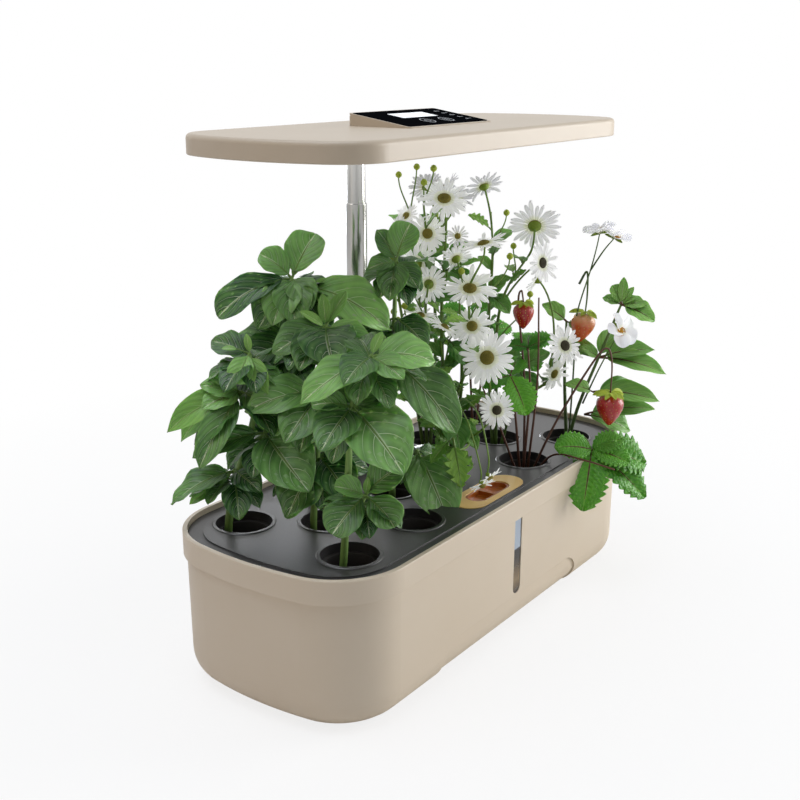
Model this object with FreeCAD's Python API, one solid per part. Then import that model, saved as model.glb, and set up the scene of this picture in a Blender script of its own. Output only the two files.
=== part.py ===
"""Countertop hydroponic garden, in millimetres.

+X runs right along the long front, the front faces -Y and +Z is up.
The origin is on the flat underside of the tank, below the middle of the window.
"""
import FreeCAD, Part
import math
import os
from collections import namedtuple

# Tank and collar
TANK_LENGTH = 400.0
TANK_WIDTH = 170.4
TANK_CORNER = 52.0
TANK_END_BOW = 14.1
COLLAR_TOP = 107.6
PARTING_HEIGHT = 91.3
COLLAR_OVERHANG = 2.4
TANK_TAPER = 0.8
TANK_WALL = 3.0
BASE_ROUNDING = 22.0
TOE_WIDTH = 190.0
TOE_HEIGHT = 29.5
TOE_CORNER = 18.0
TOE_DEPTH = 1.2
TOE_REACH = 39.0
LIP_DEPTH = 5.0
LIP_WALL = 2.0
COLLAR_RIM = 3.2
COLLAR_EDGE = 0.8

# Clearances between pieces that seat in each other
SEAT_GAP = 0.3
SLIDE_GAP = 0.07
SPIN_GAP = 0.06
SOFT_GAP = 0.3

# How far a cut runs past the face that it leaves through
OVERCUT = 1.0
WINDOW_OVERCUT = 5.0

# Water window
WINDOW_WIDTH = 10.0
WINDOW_FOOT = 31.0
WINDOW_TOP_MARGIN = 2.0
LENS_FLANGE = 3.0
LENS_FLANGE_THICKNESS = 1.5
SEAL_THICKNESS = 1.0

# Foot pads, set flush in the base
PAD_RADIUS = 7.0
PAD_THICKNESS = 1.2
PAD_X = 135.0
PAD_Y = 45.0

# Deck
DECK_TOP = 104.6
DECK_STEP = 0.8
DECK_THICKNESS = 2.2
DECK_RING_WIDTH = 10.0

# Pod wells: the three rows, front to back
POD_RADIUS = 19.2
POD_LIP_WIDTH = 2.6
POD_LIP_HEIGHT = 0.6
POD_WELL_DEPTH = 7.0
POD_WELL_WALL = 1.6
POD_LEDGE = 1.8
POD_ROW_Y = (-43.0, 3.0, 48.0)
POD_END_MARGIN = 54.0
POD_PITCH = 71.0
POD_STAGGER = 36.0
POD_MIDDLE_PITCH = 73.0

# Net baskets and sponges
BASKET_FLANGE = 1.2
BASKET_WALL = 1.2
BASKET_DEPTH = 44.0
BASKET_TOP_RADIUS = 16.9
BASKET_FOOT_RADIUS = 12.5
BASKET_SLOT = 4.0
BASKET_SLOT_TOP = 9.0
BASKET_SLOT_FOOT = 3.0
SPONGE_HEIGHT = 34.0

# Feed port in the front of the deck
FEED_Y = -56.0
FEED_LENGTH = 76.0
FEED_WIDTH = 27.0
FEED_FLANGE = 1.6
FEED_PROUD = 0.4
FEED_WELL_LENGTH = 46.0
FEED_WELL_WIDTH = 17.0
FEED_WELL_WALL = 1.6
FEED_WELL_DEPTH = 9.0
FEED_CAP_DROP = 4.0
FEED_CAP_THICKNESS = 2.0
FEED_BAR_WIDTH = 3.0
FEED_CAP_SET_BACK = 0.6

# Telescopic pole
POLE_Y = 62.0
UPPER_TUBE_RADIUS = 6.75
MID_TUBE_RADIUS = 7.65
TUBE_WALL = 0.83
LOWER_TUBE_WALL = 1.0
LOWER_TUBE_TOP = 224.0
LOWER_TUBE_STEM = 22.0
MID_TUBE_TOP = 305.0
MID_TUBE_LENGTH = 115.0
TUBE_STOP_GAP = 1.0
SOCKET_WALL = 3.0
SOCKET_FLOOR = 2.0
SOCKET_HEIGHT = 13.0
SOCKET_FLARE = 4.0
BUSH_HEIGHT = 8.0
BUSH_WALL = 1.2
TUBE_EDGE = 0.5
PLUG_HEIGHT = 2.0
PLUG_WALL = 2.94

# Lamp
LAMP_LENGTH = 362.0
LAMP_WIDTH = 147.0
LAMP_CORNER = 34.0
LAMP_END_BOW = 17.4
LAMP_CENTRE_Y = 2.3
LAMP_UNDERSIDE = 350.4
LAMP_THICKNESS = 12.9
LAMP_EDGE = 3.0
LAMP_WALL = 2.0
LAMP_LOWER_EDGE = 0.8
LAMP_RIM = 4.0
LAMP_LEDGE = 2.0
PANEL_THICKNESS = 2.0
PANEL_RECESS = 0.8
LED_BOARD_END_MARGIN = 31.0
LED_BOARD_SIDE_MARGIN = 31.5
LED_BOARD_THICKNESS = 1.6
LED_SIZE = 5.0
LED_HEIGHT = 0.9
LED_COLUMNS = 12
LED_ROWS = 5
LED_BOARD_GAP = 3.0
LED_BOARD_CORNER = 6.0
SPACER_RADIUS = 3.0
SPACER_END_INSET = 10.0
SPACER_SIDE_INSET = 6.0
HUB_RADIUS = 13.0
LAMP_SCREW_END_INSET = 31.0
LAMP_SCREW_SIDE_INSET = 11.5
LAMP_SCREW_RADIUS = 2.8
LAMP_SCREW_HEAD = 1.2
LAMP_SCREW_SHANK = 1.2
LAMP_SCREW_REACH = 6.0
LAMP_SCREW_HOLE = 7.0
LAMP_POST_WALL = 1.5

# Control wedge on the lamp
WEDGE_LEFT = -48.0
WEDGE_RIGHT = 54.0
WEDGE_FRONT = -20.0
WEDGE_BACK = 31.0
WEDGE_HEIGHT = 8.5
WEDGE_NOSE = 0.6
GLASS_MARGIN = 2.0
GLASS_THICKNESS = 1.0
GLASS_SINK = 0.7
GLASS_CORNER = 1.8
GLASS_POCKET_CORNER = 2.0
WEDGE_CORNER = 2.5
DISPLAY_LENGTH = 42.0
DISPLAY_WIDTH = 14.5
DISPLAY_X = 1.5
DISPLAY_Y = 12.5
DISPLAY_THICKNESS = 0.5
DISPLAY_CORNER = 0.8
DISPLAY_WINDOW_CORNER = 1.0
WIRING_SLOT_LENGTH = 46.0
WIRING_SLOT_WIDTH = 12.0
WIRING_SLOT_CORNER = 2.0
WIRING_SLOT_DEPTH = 2.5
CONTROL_BOARD_LENGTH = 84.0
CONTROL_BOARD_WIDTH = 34.0
CONTROL_BOARD_THICKNESS = 1.6
CONTROL_BOARD_GAP = 1.0
STAND_OFF_RADIUS = 2.5
STAND_OFF_INSET = 6.0

# Circulation pump on the tank floor
PUMP_X = 0.0
PUMP_Y = 22.0
PUMP_LENGTH = 42.0
PUMP_WIDTH = 32.0
PUMP_HEIGHT = 30.0
PUMP_CORNER = 4.0
PUMP_EDGE = 2.0
PUMP_END_GAP = 1.0
CHAMBER_GAP = 1.5
TUNNEL_GAP = 0.6
SHAFT_SEAT = 4.0
PUMP_CUP_HEIGHT = 4.0
PUMP_CUP_RADIUS = 6.0
PUMP_CUP_X = 13.0
PUMP_CUP_Y = 8.0
COVER_THICKNESS = 3.0
COVER_CORNER = 1.0
COVER_BEARING = 1.0
COVER_SLOT_LENGTH = 18.0
COVER_SLOT_WIDTH = 1.8
COVER_SLOT_PITCH = 3.4
COVER_SLOTS_EACH_SIDE = 3
IMPELLER_RADIUS = 10.5
IMPELLER_BLADES = 6
IMPELLER_BLADE_LENGTH = 8.0
IMPELLER_HUB_RADIUS = 3.0
IMPELLER_BLADE_THICKNESS = 1.2
IMPELLER_BLADE_ROOT = 0.5
ROTOR_RADIUS = 6.5
ROTOR_LENGTH = 18.0
SHAFT_RADIUS = 1.0
SHAFT_END_GAP = 0.1
OUTLET_RADIUS = 5.0
OUTLET_WALL = 1.2
OUTLET_HEIGHT = 14.0
OUTLET_ROOT = 3.0
HOSE_WALL = 1.5
HOSE_LENGTH = 22.0
HOSE_GRIP = 9.0

# Power inlet in the back of the collar
INLET_X = 30.0
INLET_RADIUS = 5.5
INLET_FLANGE = 1.2
INLET_SET_BACK = 0.2
INLET_SHOULDER = 1.5
INLET_FLOOR = 2.2
INLET_PIN_RADIUS = 1.0
INLET_PIN_SINK = 1.0
INLET_BORE = 3.2
INLET_DEPTH = 11.0
INLET_HOLE_MARGIN = 2.8

# Plants
STEM_SEAT = 0.5
BASIL_STEM = 4.2
BASIL_STEM_TIP = 2.2
BASIL_LEAF = 46.0
BASIL_LEAF_SHARE = 0.62
BASIL_PETIOLE = 8.0
BASIL_PITCH = 8
BASIL_WHORL_TURN = 45

# The small leaves between a whorl's large ones, and the young tuft: sizes as shares of a large leaf's
BASIL_SMALL = (0.7, 0.45, 0.6, 30)
BASIL_TUFT = (0.5, 0.3, 0.4, 55)
LEAF_THICKNESS = 0.7
LEAF_ARCH_RADIUS = 42.0
LEAF_WIDEST_SHARE = 0.42
LEAF_CREST_SHARE = 0.3
LEAF_STALK_SHARE = 0.06
LEAF_STALK_WIDTH = 1.2
LEAF_STALK_LOW = -1.0
LEAF_STALK_HIGH = 0.2
BERRY_LEAF = 40.0
BERRY_LEAF_SHARE = 0.78
BERRY_STEM = 1.8
BERRY_RADIUS = 10.5
BERRY_LENGTH = 23.0
BERRY_NECK = 1.0
BERRY_PETIOLE = 2.0
BERRY_LEAFLET_TURNS = (-75, 0, 75)
SEPALS = 6
SEPAL_REACH = 8.5
SEPAL_NOTCH = 3.5
SEPAL_THICKNESS = 1.0
DAISY_RADIUS = 15.0
DAISY_PETALS = 13
DAISY_DISC_RADIUS = 4.4
DAISY_STEM = 1.3
DAISY_NOTCH_SHARE = 0.5
DAISY_DISC_HEIGHT = 2.2
DAISY_DISC_TOP_SHARE = 0.6
DAISY_CALYX_DEPTH = 2.5
DAISY_CALYX_FOOT = 1.0
DAISY_CALYX_SHARE = 0.8
PETAL_THICKNESS = 0.6

# Where stems leave their sponge beside its middle, and how far they bow
STEM_SPREAD = 2.0
BERRY_SPREAD = 4.0
DAISY_BOW = 0.12
BERRY_BOW = 0.15
BERRY_RISE = 8.0
FRUIT_BOW = 0.1
FRUIT_RISE = 16.0
FRUIT_CREST = 0.6

V = FreeCAD.Vector
X_AXIS = V(1, 0, 0)
Y_AXIS = V(0, 1, 0)
Z_AXIS = V(0, 0, 1)

# A plan outline has straight long sides, bowed ends and round corners
Plan = namedtuple("Plan", "half_length half_width corner end_radius centre_y")


def bowed_plan(length, width, corner, bow, centre_y=0.0):
    """Plan outline from its overall sizes and how far its ends bow out."""
    end_radius = ((width / 2) ** 2 + bow ** 2) / (2 * bow)
    return Plan(length / 2, width / 2, corner, end_radius, centre_y)


def inset(plan, distance):
    """The same outline, moved inwards all round."""
    return Plan(
        plan.half_length - distance,
        plan.half_width - distance,
        plan.corner - distance,
        plan.end_radius - distance,
        plan.centre_y,
    )


def plan_wire(plan, z):
    """Closed wire of two lines and six tangent arcs."""
    end_x = plan.half_length - plan.end_radius
    reach = plan.end_radius - plan.corner
    corner_y = plan.half_width - plan.corner
    corner_x = end_x + math.sqrt(reach ** 2 - corner_y ** 2)
    turn = math.asin(corner_y / reach)
    middle = (turn + math.pi / 2) / 2
    side = (corner_x, plan.half_width)
    bend = (corner_x + plan.corner * math.cos(middle), corner_y + plan.corner * math.sin(middle))
    join = (end_x + plan.end_radius * math.cos(turn), plan.end_radius * math.sin(turn))
    tip = (plan.half_length, 0.0)

    def at(point, sx, sy):
        return V(sx * point[0], plan.centre_y + sy * point[1], z)

    edges = []
    for sx in (1, -1):
        edges.append(Part.Arc(at(side, sx, 1), at(bend, sx, 1), at(join, sx, 1)).toShape())
        edges.append(Part.Arc(at(join, sx, 1), at(tip, sx, 1), at(join, sx, -1)).toShape())
        edges.append(Part.Arc(at(join, sx, -1), at(bend, sx, -1), at(side, sx, -1)).toShape())
    for sy in (1, -1):
        edges.append(Part.makeLine(at(side, -1, sy), at(side, 1, sy)))
    return Part.Wire(Part.__sortEdges__(edges))


def slab(plan, low, high):
    """Upright block of a plan outline."""
    return Part.Face(plan_wire(plan, low)).extrude(V(0, 0, high - low))


def block(x0, x1, y0, y1, z0, z1):
    """Box from its limits."""
    return Part.makeBox(x1 - x0, y1 - y0, z1 - z0, V(x0, y0, z0))


def rod(radius, x, y, low, high):
    """Upright cylinder."""
    return Part.makeCylinder(radius, high - low, V(x, y, low))


def ring(outer, inner, x, y, low, high):
    """Upright tube."""
    return rod(outer, x, y, low, high).cut(rod(inner, x, y, low, high))


def stadium(length, width, x, y, low, high):
    """Upright block with half-round ends, long in X."""
    half = (length - width) / 2
    solid = block(x - half, x + half, y - width / 2, y + width / 2, low, high)
    for side in (-half, half):
        solid = solid.fuse(rod(width / 2, x + side, y, low, high))
    return solid.removeSplitter()


def rounded_box(x0, x1, y0, y1, z0, z1, radius):
    """Box with its upright edges rounded."""
    solid = block(x0, x1, y0, y1, z0, z1)
    upright = [e for e in solid.Edges if abs(e.tangentAt(e.FirstParameter).z) > 0.99]
    return solid.makeFillet(radius, upright)


def edges_at(solid, z):
    """Edges of a solid that lie level at one height."""
    found = []
    for edge in solid.Edges:
        if abs(edge.BoundBox.ZMin - z) < 1e-4 and abs(edge.BoundBox.ZMax - z) < 1e-4:
            found.append(edge)
    return found


def save(name, *solids):
    """Write one node, as one solid or as a group of separate solids."""
    shape = solids[0] if len(solids) == 1 else Part.makeCompound(list(solids))
    shape.exportStep("parts/" + name + ".step")
    nodes[name] = shape


nodes = {}
os.makedirs("parts", exist_ok=True)

collar_plan = bowed_plan(TANK_LENGTH, TANK_WIDTH, TANK_CORNER, TANK_END_BOW)
tank_plan = inset(collar_plan, COLLAR_OVERHANG)
lamp_plan = bowed_plan(LAMP_LENGTH, LAMP_WIDTH, LAMP_CORNER, LAMP_END_BOW, LAMP_CENTRE_Y)

deck_underside = DECK_TOP - DECK_STEP - DECK_THICKNESS
lower_bore = MID_TUBE_RADIUS + SLIDE_GAP
lower_radius = lower_bore + LOWER_TUBE_WALL
socket_radius = lower_radius + SOCKET_WALL
lip_inset = COLLAR_OVERHANG + TANK_WALL + SEAT_GAP
deck_plan = inset(collar_plan, COLLAR_RIM + SEAT_GAP)
pod_seat = DECK_TOP - POD_WELL_DEPTH

pod_end_x = TANK_LENGTH / 2 - POD_END_MARGIN
pod_centres = []
for index, row in enumerate(POD_ROW_Y):
    staggered = index == 1
    end_x = pod_end_x - POD_STAGGER if staggered else pod_end_x
    near_x = end_x - (POD_MIDDLE_PITCH if staggered else POD_PITCH)
    for x in (-end_x, -near_x, near_x, end_x):
        pod_centres.append((x, row))

POD_NAMES = (
    "front_1", "front_2", "front_3", "front_4",
    "middle_1", "middle_2", "middle_3", "middle_4",
    "rear_1", "rear_2", "rear_3", "rear_4",
)
pod_at = dict(zip(POD_NAMES, pod_centres))


def tank_body(shrink):
    """Tapered tank with its rounded base, smaller all round by shrink."""
    foot = inset(tank_plan, TANK_TAPER + shrink)
    top = inset(tank_plan, shrink)
    solid = Part.makeLoft([plan_wire(foot, shrink), plan_wire(top, PARTING_HEIGHT)], True, True)
    return solid.makeFillet(BASE_ROUNDING - shrink, edges_at(solid, shrink))


def toe_prism():
    """Upright arch that marks out the toe recess in the front."""
    half = TOE_WIDTH / 2
    front = -TANK_WIDTH / 2
    solid = block(-half, half, front - OVERCUT, front + TOE_REACH, -OVERCUT, TOE_HEIGHT)
    top = [e for e in edges_at(solid, TOE_HEIGHT) if abs(e.tangentAt(0).y) > 0.99]
    return solid.makeFillet(TOE_CORNER, top)


def window_bar(width, foot, top, back, front):
    """Upright bar with a round lower end, seen from the front."""
    bar = block(-width / 2, width / 2, front, back, foot + width / 2, top)
    end = Part.makeCylinder(width / 2, back - front, V(0, front, foot + width / 2), Y_AXIS)
    return bar.fuse(end).removeSplitter()


window_top = PARTING_HEIGHT - WINDOW_TOP_MARGIN
wall_inner_y = -tank_plan.half_width + TANK_WALL + TANK_TAPER
lens_front_y = -tank_plan.half_width + TANK_TAPER


def make_tank():
    """Reservoir shell, its window with a seal, and the foot pads."""
    recess = toe_prism().cut(tank_body(TOE_DEPTH))
    shell = tank_body(0).cut(recess).cut(tank_body(TANK_WALL))
    slot_back = wall_inner_y + WINDOW_OVERCUT
    slot = window_bar(WINDOW_WIDTH, WINDOW_FOOT, window_top, slot_back, -TANK_WIDTH / 2)
    shell = shell.cut(slot)
    pads = []
    for sx in (-1, 1):
        for sy in (-1, 1):
            pad = rod(PAD_RADIUS, sx * PAD_X, sy * PAD_Y, 0, PAD_THICKNESS)
            shell = shell.cut(rod(PAD_RADIUS + SEAT_GAP, sx * PAD_X, sy * PAD_Y, 0, PAD_THICKNESS))
            pads.append(pad)
    save("tank_shell", shell)
    save("foot_pads", *pads)

    bar_width = WINDOW_WIDTH - 2 * SEAT_GAP
    flange_width = WINDOW_WIDTH + 2 * LENS_FLANGE
    seal_front = wall_inner_y
    flange_front = seal_front + SEAL_THICKNESS
    flange_back = flange_front + LENS_FLANGE_THICKNESS
    flange_foot = WINDOW_FOOT - LENS_FLANGE
    flange_top = PARTING_HEIGHT - LIP_DEPTH - SEAT_GAP
    thin_back = -tank_plan.half_width + TANK_WALL - SEAT_GAP
    bar = window_bar(bar_width, WINDOW_FOOT + SEAT_GAP, window_top - SEAT_GAP, thin_back, lens_front_y)
    neck = window_bar(bar_width, WINDOW_FOOT + SEAT_GAP, flange_top, flange_front, lens_front_y)
    flange = window_bar(flange_width, flange_foot, flange_top, flange_back, flange_front)
    save("window_lens", bar.fuse(neck).fuse(flange).removeSplitter())
    seal = window_bar(flange_width, flange_foot, flange_top, flange_front, seal_front)
    hole = window_bar(WINDOW_WIDTH, WINDOW_FOOT, window_top + LIP_DEPTH, flange_front, seal_front)
    save("window_seal", seal.cut(hole))


def make_collar():
    """Ring that caps the tank, carries the deck and holds the power inlet."""
    collar = slab(collar_plan, PARTING_HEIGHT, COLLAR_TOP)
    collar = collar.makeFillet(COLLAR_EDGE, edges_at(collar, COLLAR_TOP))
    lip = slab(inset(collar_plan, lip_inset), PARTING_HEIGHT - LIP_DEPTH, PARTING_HEIGHT)
    opening = inset(collar_plan, lip_inset + LIP_WALL)
    collar = collar.fuse(lip).cut(slab(opening, PARTING_HEIGHT - LIP_DEPTH, COLLAR_TOP))
    collar = collar.cut(slab(inset(collar_plan, COLLAR_RIM), deck_underside, COLLAR_TOP))
    inlet_z = (PARTING_HEIGHT + deck_underside) / 2
    face = TANK_WIDTH / 2 - INLET_FLANGE
    barrel_radius = INLET_RADIUS - INLET_SHOULDER
    barrel_foot = face - INLET_DEPTH
    hole_foot = barrel_foot - INLET_HOLE_MARGIN

    def across(radius, y0, y1):
        return Part.makeCylinder(radius, y1 - y0, V(INLET_X, y0, inlet_z), Y_AXIS)

    hole = across(barrel_radius + SEAT_GAP, hole_foot, TANK_WIDTH / 2 + WINDOW_OVERCUT)
    seat = across(INLET_RADIUS + SEAT_GAP, face, face + WINDOW_OVERCUT)
    save("collar", collar.removeSplitter().cut(hole).cut(seat))

    inlet = across(INLET_RADIUS, face, face + INLET_FLANGE - INLET_SET_BACK)
    inlet = inlet.fuse(across(barrel_radius, barrel_foot, face))
    inlet = inlet.cut(across(INLET_BORE, barrel_foot + INLET_FLOOR, face + INLET_FLOOR))
    pin_foot = barrel_foot + INLET_PIN_SINK
    pin = across(INLET_PIN_RADIUS, pin_foot, face - INLET_PIN_SINK)
    save("power_inlet", inlet.fuse(pin).removeSplitter())


def make_deck():
    """Planting deck: a stepped plate with twelve wells, the feed pocket and a hole for the socket."""
    step_plan = inset(deck_plan, DECK_RING_WIDTH)
    ring_top = DECK_TOP - DECK_STEP
    deck = slab(deck_plan, deck_underside, ring_top)
    deck = deck.fuse(slab(step_plan, ring_top, DECK_TOP))
    for x, y in pod_centres:
        lip_radius = POD_RADIUS + POD_LIP_WIDTH
        lip = Part.makeCone(lip_radius, lip_radius - POD_LIP_HEIGHT, POD_LIP_HEIGHT, V(x, y, DECK_TOP))
        deck = deck.fuse(lip).fuse(rod(POD_RADIUS + POD_WELL_WALL, x, y, pod_seat - POD_WELL_WALL, DECK_TOP))
    for x, y in pod_centres:
        deck = deck.cut(rod(POD_RADIUS, x, y, pod_seat, DECK_TOP + POD_LIP_HEIGHT))
        deck = deck.cut(rod(POD_RADIUS - POD_LEDGE, x, y, pod_seat - POD_WELL_WALL, pod_seat))
    pocket = DECK_TOP + FEED_PROUD - FEED_FLANGE
    gap = 2 * SEAT_GAP
    deck = deck.cut(stadium(FEED_LENGTH + gap, FEED_WIDTH + gap, 0, FEED_Y, pocket, DECK_TOP))
    well = 2 * FEED_WELL_WALL + gap
    deck = deck.cut(
        stadium(FEED_WELL_LENGTH + well, FEED_WELL_WIDTH + well, 0, FEED_Y, deck_underside, pocket)
    )
    deck = deck.cut(rod(socket_radius + SPIN_GAP, 0, POLE_Y, deck_underside, DECK_TOP))
    save("deck_plate", deck.removeSplitter())


def make_socket():
    """Flanged socket that stands in the deck and takes the foot of the pole."""
    socket_top = DECK_TOP + SOCKET_HEIGHT
    flare_radius = socket_radius + SOCKET_FLARE
    flare = Part.makeCone(flare_radius, socket_radius, SOCKET_FLARE, V(0, POLE_Y, DECK_TOP))
    socket = rod(socket_radius, 0, POLE_Y, DECK_TOP - LOWER_TUBE_STEM - SOCKET_FLOOR, socket_top)
    socket = socket.fuse(flare)
    socket = socket.cut(rod(lower_radius + SPIN_GAP, 0, POLE_Y, DECK_TOP - LOWER_TUBE_STEM, socket_top))
    save("pole_socket", socket.removeSplitter())


def make_baskets():
    """Slotted net basket in each well, and the sponges that hold the roots."""
    flange_radius = POD_RADIUS - SEAT_GAP
    rim = pod_seat + BASKET_FLANGE
    foot = pod_seat - BASKET_DEPTH
    cup = Part.makeCone(BASKET_FOOT_RADIUS, BASKET_TOP_RADIUS, BASKET_DEPTH, V(0, 0, foot))
    hollow_depth = rim - foot - BASKET_WALL
    inner_foot = BASKET_FOOT_RADIUS - BASKET_WALL
    inner_top = BASKET_TOP_RADIUS - BASKET_WALL
    hollow = Part.makeCone(inner_foot, inner_top, hollow_depth, V(0, 0, foot + BASKET_WALL))
    basket = cup.fuse(rod(flange_radius, 0, 0, pod_seat, rim)).cut(hollow)
    half = BASKET_SLOT / 2
    slot_top = pod_seat - BASKET_SLOT_TOP
    slot_foot = foot + BASKET_WALL + BASKET_SLOT_FOOT
    reach = POD_RADIUS
    basket = basket.cut(block(-reach, reach, -half, half, slot_foot, slot_top))
    basket = basket.cut(block(-half, half, -reach, reach, slot_foot, slot_top)).removeSplitter()

    slope = (inner_top - inner_foot) / hollow_depth
    sponge_foot = foot + BASKET_WALL
    low_radius = inner_foot - SOFT_GAP
    high_radius = low_radius + slope * SPONGE_HEIGHT
    sponge = Part.makeCone(low_radius, high_radius, SPONGE_HEIGHT, V(0, 0, sponge_foot))
    sponges = []
    for name, (x, y) in pod_at.items():
        save("basket_" + name, basket.translated(V(x, y, 0)))
        sponges.append(sponge.translated(V(x, y, 0)))
    save("grow_sponges", *sponges)
    return sponge_foot + SPONGE_HEIGHT


def make_feed_port():
    """Yellow bezel of the feed port and the cap that lifts out by its bar."""
    top = DECK_TOP + FEED_PROUD
    seat = top - FEED_FLANGE
    foot = top - FEED_WELL_DEPTH
    wall = 2 * FEED_WELL_WALL
    bezel = stadium(FEED_LENGTH, FEED_WIDTH, 0, FEED_Y, seat, top)
    outer_wall = stadium(FEED_WELL_LENGTH + wall, FEED_WELL_WIDTH + wall, 0, FEED_Y, foot, seat)
    bezel = bezel.fuse(outer_wall)
    cap_seat = top - FEED_CAP_DROP - FEED_CAP_THICKNESS
    bezel = bezel.cut(stadium(FEED_WELL_LENGTH, FEED_WELL_WIDTH, 0, FEED_Y, cap_seat, top))
    throat = 2 * FEED_WELL_WALL
    opening = stadium(FEED_WELL_LENGTH - throat, FEED_WELL_WIDTH - throat, 0, FEED_Y, foot, cap_seat)
    bezel = bezel.cut(opening)
    save("feed_bezel", bezel.removeSplitter())

    gap = 2 * SEAT_GAP
    cap_length = FEED_WELL_LENGTH - gap
    cap_width = FEED_WELL_WIDTH - gap
    cap_top = cap_seat + FEED_CAP_THICKNESS
    cap_rim = top - FEED_CAP_SET_BACK
    cap = stadium(cap_length, cap_width, 0, FEED_Y, cap_seat, cap_rim)
    bowl = stadium(cap_length - wall, cap_width - wall, 0, FEED_Y, cap_top, top)
    half = FEED_BAR_WIDTH / 2
    bar = block(-half, half, FEED_Y - cap_width / 2, FEED_Y + cap_width / 2, cap_top, cap_rim)
    save("feed_cap", cap.cut(bowl.cut(bar)).removeSplitter())


def make_pole():
    """Three telescoping tubes and the bush at the top of the lowest one."""
    mid_bore = UPPER_TUBE_RADIUS + SLIDE_GAP
    lower_foot = DECK_TOP - LOWER_TUBE_STEM
    bush_foot = LOWER_TUBE_TOP - BUSH_HEIGHT
    lower = ring(lower_radius, lower_bore, 0, POLE_Y, lower_foot, LOWER_TUBE_TOP)
    save("pole_lower_tube", lower)

    bush = rod(lower_radius + BUSH_WALL, 0, POLE_Y, bush_foot, LOWER_TUBE_TOP + BUSH_WALL)
    bush = bush.cut(rod(lower_radius + SPIN_GAP, 0, POLE_Y, bush_foot, LOWER_TUBE_TOP))
    bush = bush.cut(rod(lower_bore, 0, POLE_Y, LOWER_TUBE_TOP, LOWER_TUBE_TOP + BUSH_WALL))
    save("pole_bush", bush)

    mid_foot = MID_TUBE_TOP - MID_TUBE_LENGTH
    mid = ring(MID_TUBE_RADIUS, mid_bore, 0, POLE_Y, mid_foot, MID_TUBE_TOP)
    top_edge = [e for e in edges_at(mid, MID_TUBE_TOP) if abs(e.Curve.Radius - MID_TUBE_RADIUS) < 0.01]
    save("pole_mid_tube", mid.makeFillet(TUBE_EDGE, top_edge))

    plug_top = mid_foot + PLUG_HEIGHT
    plug_radius = mid_bore - SPIN_GAP
    save("pole_mid_plug", ring(plug_radius, plug_radius - PLUG_WALL, 0, POLE_Y, mid_foot, plug_top))

    upper_foot = plug_top
    upper_top = LAMP_UNDERSIDE + LAMP_THICKNESS - LAMP_WALL - TUBE_STOP_GAP
    upper = ring(UPPER_TUBE_RADIUS, UPPER_TUBE_RADIUS - TUBE_WALL, 0, POLE_Y, upper_foot, upper_top)
    save("pole_upper_tube", upper)


panel_low = LAMP_UNDERSIDE + PANEL_RECESS
panel_high = panel_low + PANEL_THICKNESS
lamp_top = LAMP_UNDERSIDE + LAMP_THICKNESS
lamp_ceiling = lamp_top - LAMP_WALL
board_low = panel_high + LED_BOARD_GAP
board_high = board_low + LED_BOARD_THICKNESS


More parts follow.
